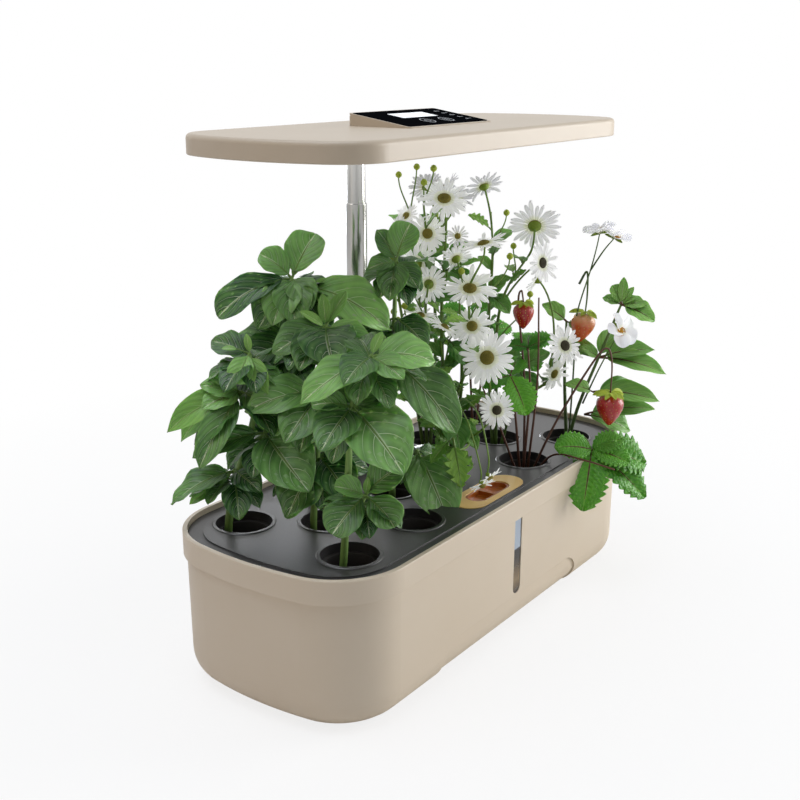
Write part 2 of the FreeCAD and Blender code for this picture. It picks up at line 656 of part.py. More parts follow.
def make_lamp():
    """Lamp housing, clear lower panel, light board with its chips, and the hub for the pole."""
    cover = slab(lamp_plan, LAMP_UNDERSIDE, lamp_top)
    cover = cover.makeFillet(LAMP_EDGE, edges_at(cover, lamp_top))
    cover = cover.makeFillet(LAMP_LOWER_EDGE, edges_at(cover, LAMP_UNDERSIDE))
    cover = cover.cut(slab(inset(lamp_plan, LAMP_RIM), LAMP_UNDERSIDE - OVERCUT, panel_high))
    cover = cover.cut(slab(inset(lamp_plan, LAMP_RIM + LAMP_LEDGE), panel_high - OVERCUT, lamp_ceiling))
    bore = UPPER_TUBE_RADIUS + SPIN_GAP
    into_top = lamp_ceiling + LAMP_WALL / 2
    hub = rod(HUB_RADIUS, 0, POLE_Y, LAMP_UNDERSIDE, into_top)
    clip = slab(inset(lamp_plan, LAMP_WALL), LAMP_UNDERSIDE, into_top)
    cover = cover.fuse(hub.common(clip))
    cover = cover.cut(rod(bore, 0, POLE_Y, LAMP_UNDERSIDE - OVERCUT, lamp_ceiling - SEAT_GAP))
    posts = []
    for sx in (-1, 0, 1):
        for sy in (-1, 1):
            if sx == 0 and sy == 1:
                continue
            x = sx * (LAMP_LENGTH / 2 - LAMP_SCREW_END_INSET)
            posts.append((x, LAMP_CENTRE_Y + sy * (LAMP_WIDTH / 2 - LAMP_SCREW_SIDE_INSET)))
    for x, y in posts:
        cover = cover.fuse(rod(LAMP_SCREW_RADIUS + LAMP_POST_WALL, x, y, panel_high, into_top))
    for x, y in posts:
        cover = cover.cut(rod(LAMP_SCREW_SHANK + SPIN_GAP, x, y, panel_high, panel_high + LAMP_SCREW_HOLE))
    cover = cover.cut(wiring_slot(lamp_ceiling - OVERCUT, lamp_top + OVERCUT))
    save("lamp_housing", cover.removeSplitter())

    panel = slab(inset(lamp_plan, LAMP_RIM + SEAT_GAP), panel_low, panel_high)
    panel = panel.cut(rod(HUB_RADIUS + SEAT_GAP, 0, POLE_Y, panel_low, panel_high))
    screws = []
    head_top = panel_low + LAMP_SCREW_HEAD
    for x, y in posts:
        panel = panel.cut(rod(LAMP_SCREW_SHANK + SEAT_GAP, x, y, panel_low, panel_high))
        panel = panel.cut(rod(LAMP_SCREW_RADIUS + SEAT_GAP, x, y, panel_low, head_top))
        head = rod(LAMP_SCREW_RADIUS, x, y, panel_low, head_top)
        screws.append(head.fuse(rod(LAMP_SCREW_SHANK, x, y, head_top, panel_high + LAMP_SCREW_REACH)))
    save("light_panel", panel)
    save("lamp_screws", *screws)

    half_length = LAMP_LENGTH / 2 - LED_BOARD_END_MARGIN
    half_width = LAMP_WIDTH / 2 - LED_BOARD_SIDE_MARGIN
    front = LAMP_CENTRE_Y - half_width
    back = LAMP_CENTRE_Y + half_width
    board = rounded_box(-half_length, half_length, front, back, board_low, board_high, LED_BOARD_CORNER)
    stand_offs = []
    for sx in (-1, 0, 1):
        for sy in (-1, 1):
            x = sx * (half_length - SPACER_END_INSET)
            y = LAMP_CENTRE_Y + sy * (half_width - SPACER_SIDE_INSET)
            stand_offs.append(rod(SPACER_RADIUS, x, y, board_high, lamp_ceiling))
    save("light_board", board)
    save("board_spacers", *stand_offs)
    chips = []
    for column in range(LED_COLUMNS):
        for row in range(LED_ROWS):
            x = (column - (LED_COLUMNS - 1) / 2) * 2 * half_length / LED_COLUMNS
            y = LAMP_CENTRE_Y + (row - (LED_ROWS - 1) / 2) * 2 * half_width / LED_ROWS
            half = LED_SIZE / 2
            chips.append(block(x - half, x + half, y - half, y + half, board_low - LED_HEIGHT, board_low))
    save("light_chips", *chips)


def wiring_slot(low, high):
    """Opening below the wedge that takes the leads from the lamp to the display."""
    x = (WEDGE_LEFT + WEDGE_RIGHT) / 2
    y = (WEDGE_FRONT + WEDGE_BACK) / 2
    half = WIRING_SLOT_LENGTH / 2
    return rounded_box(x - half, x + half, y, y + WIRING_SLOT_WIDTH, low, high, WIRING_SLOT_CORNER)


slope_angle = math.atan2(WEDGE_HEIGHT - WEDGE_NOSE, WEDGE_BACK - WEDGE_FRONT)


def on_slope(length, width, thickness, x, y, corner, sink=0.0):
    """Rounded plate lying on the sloped top of the wedge, centred at x and y."""
    plate = rounded_box(-length / 2, length / 2, -width / 2, width / 2, -sink, thickness - sink, corner)
    plate.rotate(V(0, 0, 0), X_AXIS, math.degrees(slope_angle))
    z = lamp_top + WEDGE_NOSE + (y - WEDGE_FRONT) * math.tan(slope_angle)
    return plate.translated(V(x, y, z))


def make_controls():
    """Sloped control wedge with its black glass, display and board."""
    profile = Part.makePolygon([
        V(WEDGE_LEFT, WEDGE_FRONT, lamp_top),
        V(WEDGE_LEFT, WEDGE_BACK, lamp_top),
        V(WEDGE_LEFT, WEDGE_BACK, lamp_top + WEDGE_HEIGHT),
        V(WEDGE_LEFT, WEDGE_FRONT, lamp_top + WEDGE_NOSE),
        V(WEDGE_LEFT, WEDGE_FRONT, lamp_top),
    ])
    wedge = Part.Face(profile).extrude(V(WEDGE_RIGHT - WEDGE_LEFT, 0, 0))
    upright = [e for e in wedge.Edges if abs(e.tangentAt(e.FirstParameter).z) > 0.99]
    wedge = wedge.makeFillet(WEDGE_CORNER, upright)
    middle_x = (WEDGE_LEFT + WEDGE_RIGHT) / 2
    middle_y = (WEDGE_FRONT + WEDGE_BACK) / 2
    slope_width = (WEDGE_BACK - WEDGE_FRONT) / math.cos(slope_angle)
    glass_length = WEDGE_RIGHT - WEDGE_LEFT - 2 * GLASS_MARGIN
    glass_width = slope_width - 2 * GLASS_MARGIN
    pocket = on_slope(
        glass_length + 2 * SEAT_GAP, glass_width + 2 * SEAT_GAP, GLASS_THICKNESS + WINDOW_OVERCUT,
        middle_x, middle_y, GLASS_POCKET_CORNER, GLASS_SINK,
    )
    wedge = wedge.cut(pocket)
    save("control_wedge", wedge.cut(wiring_slot(lamp_top, lamp_top + WIRING_SLOT_DEPTH)))
    glass = on_slope(
        glass_length, glass_width, GLASS_THICKNESS, middle_x, middle_y, GLASS_CORNER, GLASS_SINK
    )
    display_sink = GLASS_SINK + DISPLAY_THICKNESS - GLASS_THICKNESS
    window = on_slope(
        DISPLAY_LENGTH + SEAT_GAP, DISPLAY_WIDTH + SEAT_GAP, DISPLAY_THICKNESS + OVERCUT,
        DISPLAY_X, DISPLAY_Y, DISPLAY_WINDOW_CORNER, display_sink,
    )
    save("touch_glass", glass.cut(window))
    display = on_slope(
        DISPLAY_LENGTH, DISPLAY_WIDTH, DISPLAY_THICKNESS,
        DISPLAY_X, DISPLAY_Y, DISPLAY_CORNER, display_sink,
    )
    save("display", display)
    half = CONTROL_BOARD_LENGTH / 2
    front = middle_y - CONTROL_BOARD_WIDTH / 2
    low = board_high + CONTROL_BOARD_GAP
    high = low + CONTROL_BOARD_THICKNESS
    board = block(middle_x - half, middle_x + half, front, front + CONTROL_BOARD_WIDTH, low, high)
    for x in (middle_x - half + STAND_OFF_INSET, middle_x + half - STAND_OFF_INSET):
        board = board.fuse(rod(STAND_OFF_RADIUS, x, middle_y, high, lamp_ceiling))
    save("control_board", board)


def make_pump():
    """Submersible pump: housing, intake cover, shaft, impeller, outlet hose and suction cups."""
    floor = TANK_WALL
    base = floor + PUMP_CUP_HEIGHT
    top = base + PUMP_HEIGHT
    back_x = PUMP_X - PUMP_LENGTH / 2
    front_x = PUMP_X + PUMP_LENGTH / 2
    side = PUMP_WIDTH / 2
    axis_z = base + PUMP_HEIGHT / 2
    body = rounded_box(back_x, front_x, PUMP_Y - side, PUMP_Y + side, base, top, PUMP_CORNER)
    body = body.makeFillet(PUMP_EDGE, edges_at(body, top))

    def along(radius, x0, x1):
        return Part.makeCylinder(radius, x1 - x0, V(x0, PUMP_Y, axis_z), X_AXIS)

    hub_end = front_x - PUMP_END_GAP
    hub_start = hub_end - IMPELLER_BLADE_LENGTH
    rotor_start = hub_start - ROTOR_LENGTH
    chamber = along(IMPELLER_RADIUS + CHAMBER_GAP, hub_start - PUMP_END_GAP, front_x)
    tunnel_end = rotor_start - 2 * PUMP_END_GAP
    tunnel = along(ROTOR_RADIUS + TUNNEL_GAP, tunnel_end, front_x)
    shaft_start = tunnel_end - SHAFT_SEAT
    bore_radius = SHAFT_RADIUS + SPIN_GAP
    body = body.cut(chamber).cut(tunnel).cut(along(bore_radius, shaft_start, front_x))
    outlet_x = hub_end - IMPELLER_BLADE_LENGTH / 2
    outlet_top = top + OUTLET_HEIGHT
    outlet = rod(OUTLET_RADIUS, outlet_x, PUMP_Y, top - OUTLET_ROOT, outlet_top)
    outlet_bore = rod(OUTLET_RADIUS - OUTLET_WALL, outlet_x, PUMP_Y, axis_z, outlet_top)
    save("pump_housing", body.fuse(outlet).cut(outlet_bore).removeSplitter())

    rotor = along(ROTOR_RADIUS, rotor_start, hub_start)
    impeller = along(IMPELLER_HUB_RADIUS, hub_start, hub_end).fuse(rotor)
    half = IMPELLER_BLADE_THICKNESS / 2
    root = IMPELLER_HUB_RADIUS - IMPELLER_BLADE_ROOT
    for index in range(IMPELLER_BLADES):
        blade = block(hub_start, hub_end, -half, half, root, IMPELLER_RADIUS)
        blade.rotate(V(0, 0, 0), X_AXIS, index * 360 / IMPELLER_BLADES)
        impeller = impeller.fuse(blade.translated(V(0, PUMP_Y, axis_z)))
    impeller = impeller.cut(along(bore_radius, shaft_start, front_x + OVERCUT))
    save("pump_impeller", impeller.removeSplitter())
    bearing_end = front_x + COVER_BEARING
    save("pump_shaft", along(SHAFT_RADIUS, shaft_start, bearing_end - SHAFT_END_GAP))

    cover_x = front_x + COVER_THICKNESS
    cover = rounded_box(front_x, cover_x, PUMP_Y - side, PUMP_Y + side, base, top, COVER_CORNER)
    cover = cover.cut(along(bore_radius, front_x, bearing_end))
    half_slot = COVER_SLOT_WIDTH / 2
    slot_side = COVER_SLOT_LENGTH / 2
    for index in range(-COVER_SLOTS_EACH_SIDE, COVER_SLOTS_EACH_SIDE + 1):
        if index == 0:
            continue
        z = axis_z + index * COVER_SLOT_PITCH
        slot = block(
            front_x - OVERCUT, cover_x + OVERCUT,
            PUMP_Y - slot_side, PUMP_Y + slot_side, z - half_slot, z + half_slot,
        )
        cover = cover.cut(slot)
    save("pump_cover", cover)

    hose_low = outlet_top - HOSE_GRIP
    hose_bore = OUTLET_RADIUS + SPIN_GAP
    hose = ring(hose_bore + HOSE_WALL, hose_bore, outlet_x, PUMP_Y, hose_low, hose_low + HOSE_LENGTH)
    save("outlet_hose", hose)

    cups = []
    for sx in (-1, 1):
        for sy in (-1, 1):
            centre = V(PUMP_X + sx * PUMP_CUP_X, PUMP_Y + sy * PUMP_CUP_Y, floor)
            cups.append(Part.makeCone(PUMP_CUP_RADIUS, PUMP_CUP_RADIUS / 2, PUMP_CUP_HEIGHT, centre))
    save("suction_cups", *cups)


def leaf_blade(length, width, arch_radius, petiole):
    """Pointed leaf that arches over, its stalk starting at the origin and its tip towards +X."""
    widest = V(petiole + LEAF_WIDEST_SHARE * length, width / 2, 0)
    start = V(petiole, 0, 0)
    tip = V(petiole + length, 0, 0)
    left = Part.Arc(start, widest, tip).toShape()
    right = Part.Arc(tip, V(widest.x, -width / 2, 0), start).toShape()
    outline = Part.Face(Part.Wire([left, right]))
    drop = 2 * arch_radius
    prism = outline.extrude(V(0, 0, drop)).translated(V(0, 0, -drop / 2 - arch_radius / 2))
    crest = LEAF_CREST_SHARE * length
    sink = math.sqrt(arch_radius ** 2 - crest ** 2)
    centre = V(petiole + crest, -width, -sink)
    outer = Part.makeCylinder(arch_radius, 2 * width, centre, Y_AXIS)
    inner = Part.makeCylinder(arch_radius - LEAF_THICKNESS, 2 * width, centre, Y_AXIS)
    blade = prism.common(outer.cut(inner))
    blade = max(blade.Solids, key=lambda s: s.BoundBox.ZMax)
    half = LEAF_STALK_WIDTH / 2
    stalk_end = petiole + LEAF_STALK_SHARE * length
    stalk = block(0, stalk_end, -half, half, LEAF_STALK_LOW, LEAF_STALK_HIGH)
    return blade.fuse(stalk)


def turned(shape, base, azimuth, pitch, roll=0.0):
    """Copy of a shape made along +X, tilted up by pitch, turned to azimuth and moved to base."""
    placed = shape.copy()
    placed.rotate(V(0, 0, 0), X_AXIS, roll)
    placed.rotate(V(0, 0, 0), Y_AXIS, -pitch)
    placed.rotate(V(0, 0, 0), Z_AXIS, azimuth)
    return placed.translated(base)


def square_stem(foot, top, foot_width, top_width):
    """Straight square stem that thins towards its top."""
    wires = []
    for point, width in ((foot, foot_width), (top, top_width)):
        half = width / 2
        corners = []
        for sx, sy in ((-1, -1), (1, -1), (1, 1), (-1, 1), (-1, -1)):
            corners.append(V(point.x + sx * half, point.y + sy * half, point.z))
        wires.append(Part.makePolygon(corners))
    return Part.makeLoft(wires, True, True)


def curved_stem(points, width, sides=5):
    """Thin stem through three points, on an arc."""
    path = Part.Wire([Part.Arc(*points).toShape()])
    edge = path.Edges[0]
    along = edge.tangentAt(edge.FirstParameter)
    corners = []
    spin = FreeCAD.Rotation(Z_AXIS, along)
    for index in range(sides + 1):
        angle = 2 * math.pi * (index % sides) / sides
        local = V(width / 2 * math.cos(angle), width / 2 * math.sin(angle), 0)
        corners.append(points[0] + spin.multVec(local))
    return path.makePipeShell([Part.makePolygon(corners)], True, False)


# Basil: pod, stem height, lean in X and Y, turn, and each whorl's share of the stem and leaf size
BASIL_PLANTS = (
    ("rear_1", 126.0, (-3.0, 2.0), 20.0, ((1.0, 0.60), (0.78, 0.95), (0.50, 1.00), (0.26, 0.85))),
    ("rear_2", 172.0, (-2.0, 3.0), 95.0, ((1.0, 1.00), (0.72, 1.00), (0.46, 0.90), (0.22, 0.80))),
    ("middle_1", 152.0, (0.0, 0.0), 150.0, ((1.0, 1.00), (0.70, 1.00), (0.42, 0.90), (0.18, 0.75))),
    ("middle_2", 176.0, (2.0, -2.0), 90.0, ((1.0, 0.75), (0.75, 0.90), (0.50, 1.05), (0.25, 1.05))),
    ("front_1", 148.0, (4.0, -5.0), 65.0, ((1.0, 1.00), (0.76, 1.00), (0.50, 1.05), (0.26, 0.70))),
)


def basil_share(shares, length):
    """Smaller leaf, and its pitch, from its shares of a large leaf's length, width and stalk."""
    long, wide, petiole, pitch = shares
    return leaf_blade(length * long, length * wide, LEAF_ARCH_RADIUS, BASIL_PETIOLE * petiole), pitch


def basil_plant(foot, height, lean, turn, whorls):
    """Upright basil with crossed pairs of leaves at each node and a young tuft on top."""
    top = V(foot.x + lean[0], foot.y + lean[1], foot.z + height)
    solids = [square_stem(foot, top, BASIL_STEM, BASIL_STEM_TIP)]
    for level, (share, size) in enumerate(whorls):
        node = foot + (top - foot) * share
        length = BASIL_LEAF * size
        large = leaf_blade(length, length * BASIL_LEAF_SHARE, LEAF_ARCH_RADIUS, BASIL_PETIOLE)
        small, pitch = basil_share(BASIL_SMALL, length)
        for pair in range(2):
            azimuth = turn + 180 * pair + BASIL_WHORL_TURN * level
            solids.append(turned(large, node, azimuth, BASIL_PITCH))
            solids.append(turned(small, node, azimuth + 90, pitch))
    tuft, pitch = basil_share(BASIL_TUFT, BASIL_LEAF)
    for pair in range(2):
        solids.append(turned(tuft, top, turn + BASIL_WHORL_TURN + 180 * pair, pitch))
    return solids


def stem_foot(foot, dx, dy, spread):
    """Where a stem that leans towards dx, dy leaves the sponge."""
    return foot + V(dx, dy, 0) * (spread / math.hypot(dx, dy)) + V(0, 0, STEM_SEAT)


def daisy_head(radius):
    """Flower facing +Z: a ring of petals cut as a star, with a domed disc."""
    corners = []
    for index in range(2 * DAISY_PETALS + 1):
        reach = radius if index % 2 == 0 else radius * DAISY_NOTCH_SHARE
        angle = math.pi * index / DAISY_PETALS
        corners.append(V(reach * math.cos(angle), reach * math.sin(angle), 0))
    corners[-1] = corners[0]
    petals = Part.Face(Part.makePolygon(corners)).extrude(V(0, 0, PETAL_THICKNESS))
    disc_top = DAISY_DISC_RADIUS * DAISY_DISC_TOP_SHARE
    disc = Part.makeCone(DAISY_DISC_RADIUS, disc_top, DAISY_DISC_HEIGHT, V(0, 0, PETAL_THICKNESS))
    calyx_top = DAISY_DISC_RADIUS * DAISY_CALYX_SHARE
    calyx = Part.makeCone(DAISY_CALYX_FOOT, calyx_top, DAISY_CALYX_DEPTH, V(0, 0, -DAISY_CALYX_DEPTH))
    return [petals, disc, calyx]


# Daisies: pod, then each flower's offset from the pod, its height, facing and size
DAISY_PLANTS = (
    ("middle_3", (
        ((-3, 4), 204, (200, 35), 1.0), ((-10, 14), 178, (215, 20), 1.0), ((9, -12), 172, (250, 30), 1.0),
        ((-4, -21), 138, (240, 15), 1.1), ((-18, 6), 142, (190, 25), 0.9), ((-8, -26), 110, (235, 20), 1.15),
        ((-4, -37), 86, (234, 5), 1.1), ((4, -34), 48, (234, 12), 0.9),
    )),
    ("middle_4", (
        ((-16, 14), 212, (230, 40), 0.9), ((8, -26), 176, (300, 45), 1.1), ((14, -32), 147, (290, 40), 1.1),
        ((12, -46), 88, (250, 15), 1.0),
    )),
    ("rear_3", (
        ((-12, 12), 186, (150, 30), 0.8), ((10, 8), 205, (120, 40), 0.9), ((14, 22), 160, (80, 20), 1.0),
    )),
)


def daisy_plant(foot, flowers):
    """Fan of thin stems, each with one flower head."""
    solids = []
    for (dx, dy), height, (azimuth, pitch), size in flowers:
        heading = math.radians(azimuth)
        level = math.cos(math.radians(pitch))
        facing = V(level * math.cos(heading), level * math.sin(heading), math.sin(math.radians(pitch)))
        head = V(foot.x + dx, foot.y + dy, DECK_TOP + height)
        back = head - facing * DAISY_CALYX_DEPTH
        start = stem_foot(foot, dx, dy, STEM_SPREAD)
        middle = start + (back - start) * 0.5 + V(-dx, -dy, 0) * DAISY_BOW
        solids.append(curved_stem((start, middle, back), DAISY_STEM))
        spin = FreeCAD.Rotation(Z_AXIS, facing)
        for piece in daisy_head(DAISY_RADIUS * size):
            placed = piece.copy()
            placed.Placement = FreeCAD.Placement(head, spin)
            solids.append(placed)
    return solids


# Strawberries: pod, then each leaf's offset, height, azimuth, pitch and size, and each fruit's
STRAWBERRY_PLANTS = (
    ("front_3", (
        ((-8, -8), 56, 262, -10, 0.75), ((2, -14), 84, 290, 0, 0.7), ((12, 4), 108, 20, 10, 0.8),
    ), (
        ((8, -4), 108),
    )),
    ("front_4", (
        ((2, -58), 12, 266, -38, 1.05), ((30, -38), 96, 330, 10, 0.9), ((28, -20), 50, 350, 5, 1.0),
        ((14, 18), 86, 60, 10, 0.9),
    ), (
        ((8, -28), 30), ((1, -2), 95),
    )),
    ("rear_4", (
        ((12, 6), 70, 20, 10, 1.0), ((-4, 14), 110, 100, 10, 0.9), ((18, -8), 130, 330, 15, 0.8),
    ), ()),
)


def strawberry_fruit(stalk_end):
    """Hanging fruit with a rounded shoulder and a blunt point, below its star of sepals."""
    top = stalk_end.z - BERRY_NECK
    shape = ((0.1, 0.0), (0.72, 0.05), (1.0, 0.32), (0.68, 0.7), (0.1, 1.0))
    side = [V(reach * BERRY_RADIUS, 0, top - depth * BERRY_LENGTH) for reach, depth in shape]
    curve = Part.BSplineCurve()
    curve.interpolate(side)
    bottom = V(0, 0, side[-1].z)
    profile = Part.Wire([
        Part.makeLine(V(0, 0, top), side[0]),
        curve.toShape(),
        Part.makeLine(side[-1], bottom),
        Part.makeLine(bottom, V(0, 0, top)),
    ])
    fruit = Part.Face(profile).revolve(V(0, 0, 0), Z_AXIS, 360)
    corners = []
    for index in range(2 * SEPALS + 1):
        reach = SEPAL_REACH if index % 2 == 0 else SEPAL_NOTCH
        angle = math.pi * (index % (2 * SEPALS)) / SEPALS
        corners.append(V(reach * math.cos(angle), reach * math.sin(angle), top))
    sepals = Part.Face(Part.makePolygon(corners)).extrude(V(0, 0, SEPAL_THICKNESS))
    shift = V(stalk_end.x, stalk_end.y, 0)
    return [fruit.translated(shift), sepals.translated(shift)]


def strawberry_plant(foot, leaves, fruits):
    """Arching stalks, each with three leaflets or a fruit."""
    solids = []
    for (dx, dy), height, azimuth, pitch, size in leaves:
        node = V(foot.x + dx, foot.y + dy, DECK_TOP + height)
        start = stem_foot(foot, dx, dy, BERRY_SPREAD)
        middle = start + (node - start) * 0.5 + V(-dx, -dy, 0) * BERRY_BOW + V(0, 0, BERRY_RISE)
        solids.append(curved_stem((start, middle, node), BERRY_STEM))
        length = BERRY_LEAF * size
        leaflet = leaf_blade(length, length * BERRY_LEAF_SHARE, 2 * LEAF_ARCH_RADIUS, BERRY_PETIOLE)
        for swing in BERRY_LEAFLET_TURNS:
            solids.append(turned(leaflet, node, azimuth + swing, pitch))
    for (dx, dy), height in fruits:
        end = V(foot.x + dx, foot.y + dy, DECK_TOP + height + BERRY_LENGTH / 2)
        start = stem_foot(foot, dx, dy, STEM_SPREAD)
        middle = start + (end - start) * FRUIT_CREST + V(dx, dy, 0) * FRUIT_BOW + V(0, 0, FRUIT_RISE)
        solids.append(curved_stem((start, middle, end), BERRY_STEM))
        solids.extend(strawberry_fruit(end))
    return solids


def make_plants(soil):
    """Every plant, rooted in the sponge of its pod."""
    def foot_of(pod):
        return V(pod_at[pod][0], pod_at[pod][1], soil)

    for pod, height, lean, turn, whorls in BASIL_PLANTS:
        save("basil_" + pod, *basil_plant(foot_of(pod), height + DECK_TOP - soil, lean, turn, whorls))
    for pod, flowers in DAISY_PLANTS:
        save("daisy_" + pod, *daisy_plant(foot_of(pod), flowers))
    for pod, leaves, fruits in STRAWBERRY_PLANTS:
        save("strawberry_" + pod, *strawberry_plant(foot_of(pod), leaves, fruits))


make_tank()
make_collar()
make_deck()
make_socket()
soil_height = make_baskets()
make_feed_port()
make_pole()
make_lamp()
make_controls()
make_pump()
make_plants(soil_height)
print(len(nodes), "nodes written")
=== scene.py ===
"""Looks of a countertop hydroponic garden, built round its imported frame.

The frame is in metres: +X runs right along the front, the front faces -Y and +Z is up.
Sizes written here are millimetres, and mesh parts turn them into metres when they are built.
"""
import logging
import math
from dataclasses import dataclass, field, replace
from enum import Enum
from typing import ClassVar, Iterable, Optional, Sequence, Union

import bpy
import numpy as np
from mathutils import Matrix, Vector


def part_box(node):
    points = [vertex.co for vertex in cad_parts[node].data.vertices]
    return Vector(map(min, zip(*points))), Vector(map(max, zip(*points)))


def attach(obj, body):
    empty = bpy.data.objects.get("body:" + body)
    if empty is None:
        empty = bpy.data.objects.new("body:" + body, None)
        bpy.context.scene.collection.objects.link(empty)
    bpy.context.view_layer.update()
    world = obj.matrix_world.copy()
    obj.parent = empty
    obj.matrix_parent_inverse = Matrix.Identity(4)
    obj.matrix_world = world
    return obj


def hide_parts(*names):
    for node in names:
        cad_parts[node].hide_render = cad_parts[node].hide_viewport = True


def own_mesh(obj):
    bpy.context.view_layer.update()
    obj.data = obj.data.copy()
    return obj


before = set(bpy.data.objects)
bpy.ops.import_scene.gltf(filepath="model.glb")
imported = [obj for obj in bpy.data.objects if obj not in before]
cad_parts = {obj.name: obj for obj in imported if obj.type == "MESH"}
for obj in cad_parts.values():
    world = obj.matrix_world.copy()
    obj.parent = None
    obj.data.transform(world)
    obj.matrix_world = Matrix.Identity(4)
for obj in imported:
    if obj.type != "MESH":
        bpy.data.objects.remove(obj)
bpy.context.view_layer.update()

MM = 0.001
SEED = 20
LOG = logging.getLogger("garden")

Colour = tuple[float, float, float, float]
Triple = tuple[float, float, float]
Pair = tuple[float, float]
Socket = bpy.types.NodeSocket
Level = Union[float, Socket]
Tint = Union[str, Socket]

# Where the photograph was taken from: heading and pitch of the view in degrees
VIEW_HEADING = 35.63
VIEW_PITCH = 16.37
VIEW_LOCATION = (-0.67106, -0.45852, 0.40680)
VIEW_LENS = 51.53
VIEW_SHIFT = -0.00625
SENSOR_WIDTH = 36.0

# Height of the raised lip round each pod well, above the deck
POD_LIP = 0.6
# How far a stem's foot stands in its sponge
ROOTING = 0.5
# Turn from one seed, floret or leaf to the next, in degrees
GOLDEN_TURN = 137.508
SPRIG_TURN = 137.5
# Power of the curve in which side veins run from the midrib to the edge
VEIN_CURVE = 1.25
# Direction that no part runs along, from which sideways directions are made
ASKEW = (0.31, 0.17, 0.11)
ABOVE = (0.1, 0.2, 1.0)
STRAIGHT_UP = np.array((0.0, 0.0, 1.0))


class Body(Enum):
    """Bodies of the frame that built pieces ride on."""

    DECK = "deck"
    LAMP = "lamp"


class Slot(Enum):
    """Slots of the record that built pieces are passed with; no build reads them."""

    BASIL = "leaf_basil"
    PETAL = "petal_white"
    STRAWBERRY = "leaf_strawberry"
    SPONGE = "sponge"
    DISPLAY = "display_glass"


def linear(code: str) -> Colour:
    """Turns an sRGB hex colour into linear light.

    Args:
        code: six hex digits, such as "C8BCAF".

    Returns:
        The colour as red, green, blue and alpha from 0 to 1.
    """
    values = []
    for start in (0, 2, 4):
        part = int(code[start:start + 2], 16) / 255
        values.append(part / 12.92 if part <= 0.04045 else ((part + 0.055) / 1.055) ** 2.4)
    return values[0], values[1], values[2], 1.0


def add_node(tree: bpy.types.NodeTree, kind: str, inputs: Optional[dict] = None,
             **properties: object) -> bpy.types.Node:
    """Adds a shader node.

    Args:
        tree: the material's or world's node tree.
        kind: Blender's name of the node type.
        inputs: for each input, by name or index, a value or the output that feeds it.
        properties: the node's own options.

    Returns:
        The new node.
    """
    node = tree.nodes.new(kind)
    for key, value in properties.items():
        setattr(node, key, value)
    fill_inputs(tree, node, inputs or {})
    return node


def fill_inputs(tree: bpy.types.NodeTree, node: bpy.types.Node, inputs: dict) -> None:
    """Links the inputs that are given an output, and sets the others to their value."""
    for key, value in inputs.items():
        if isinstance(value, bpy.types.NodeSocket):
            tree.links.new(value, node.inputs[key])
        else:
            node.inputs[key].default_value = value


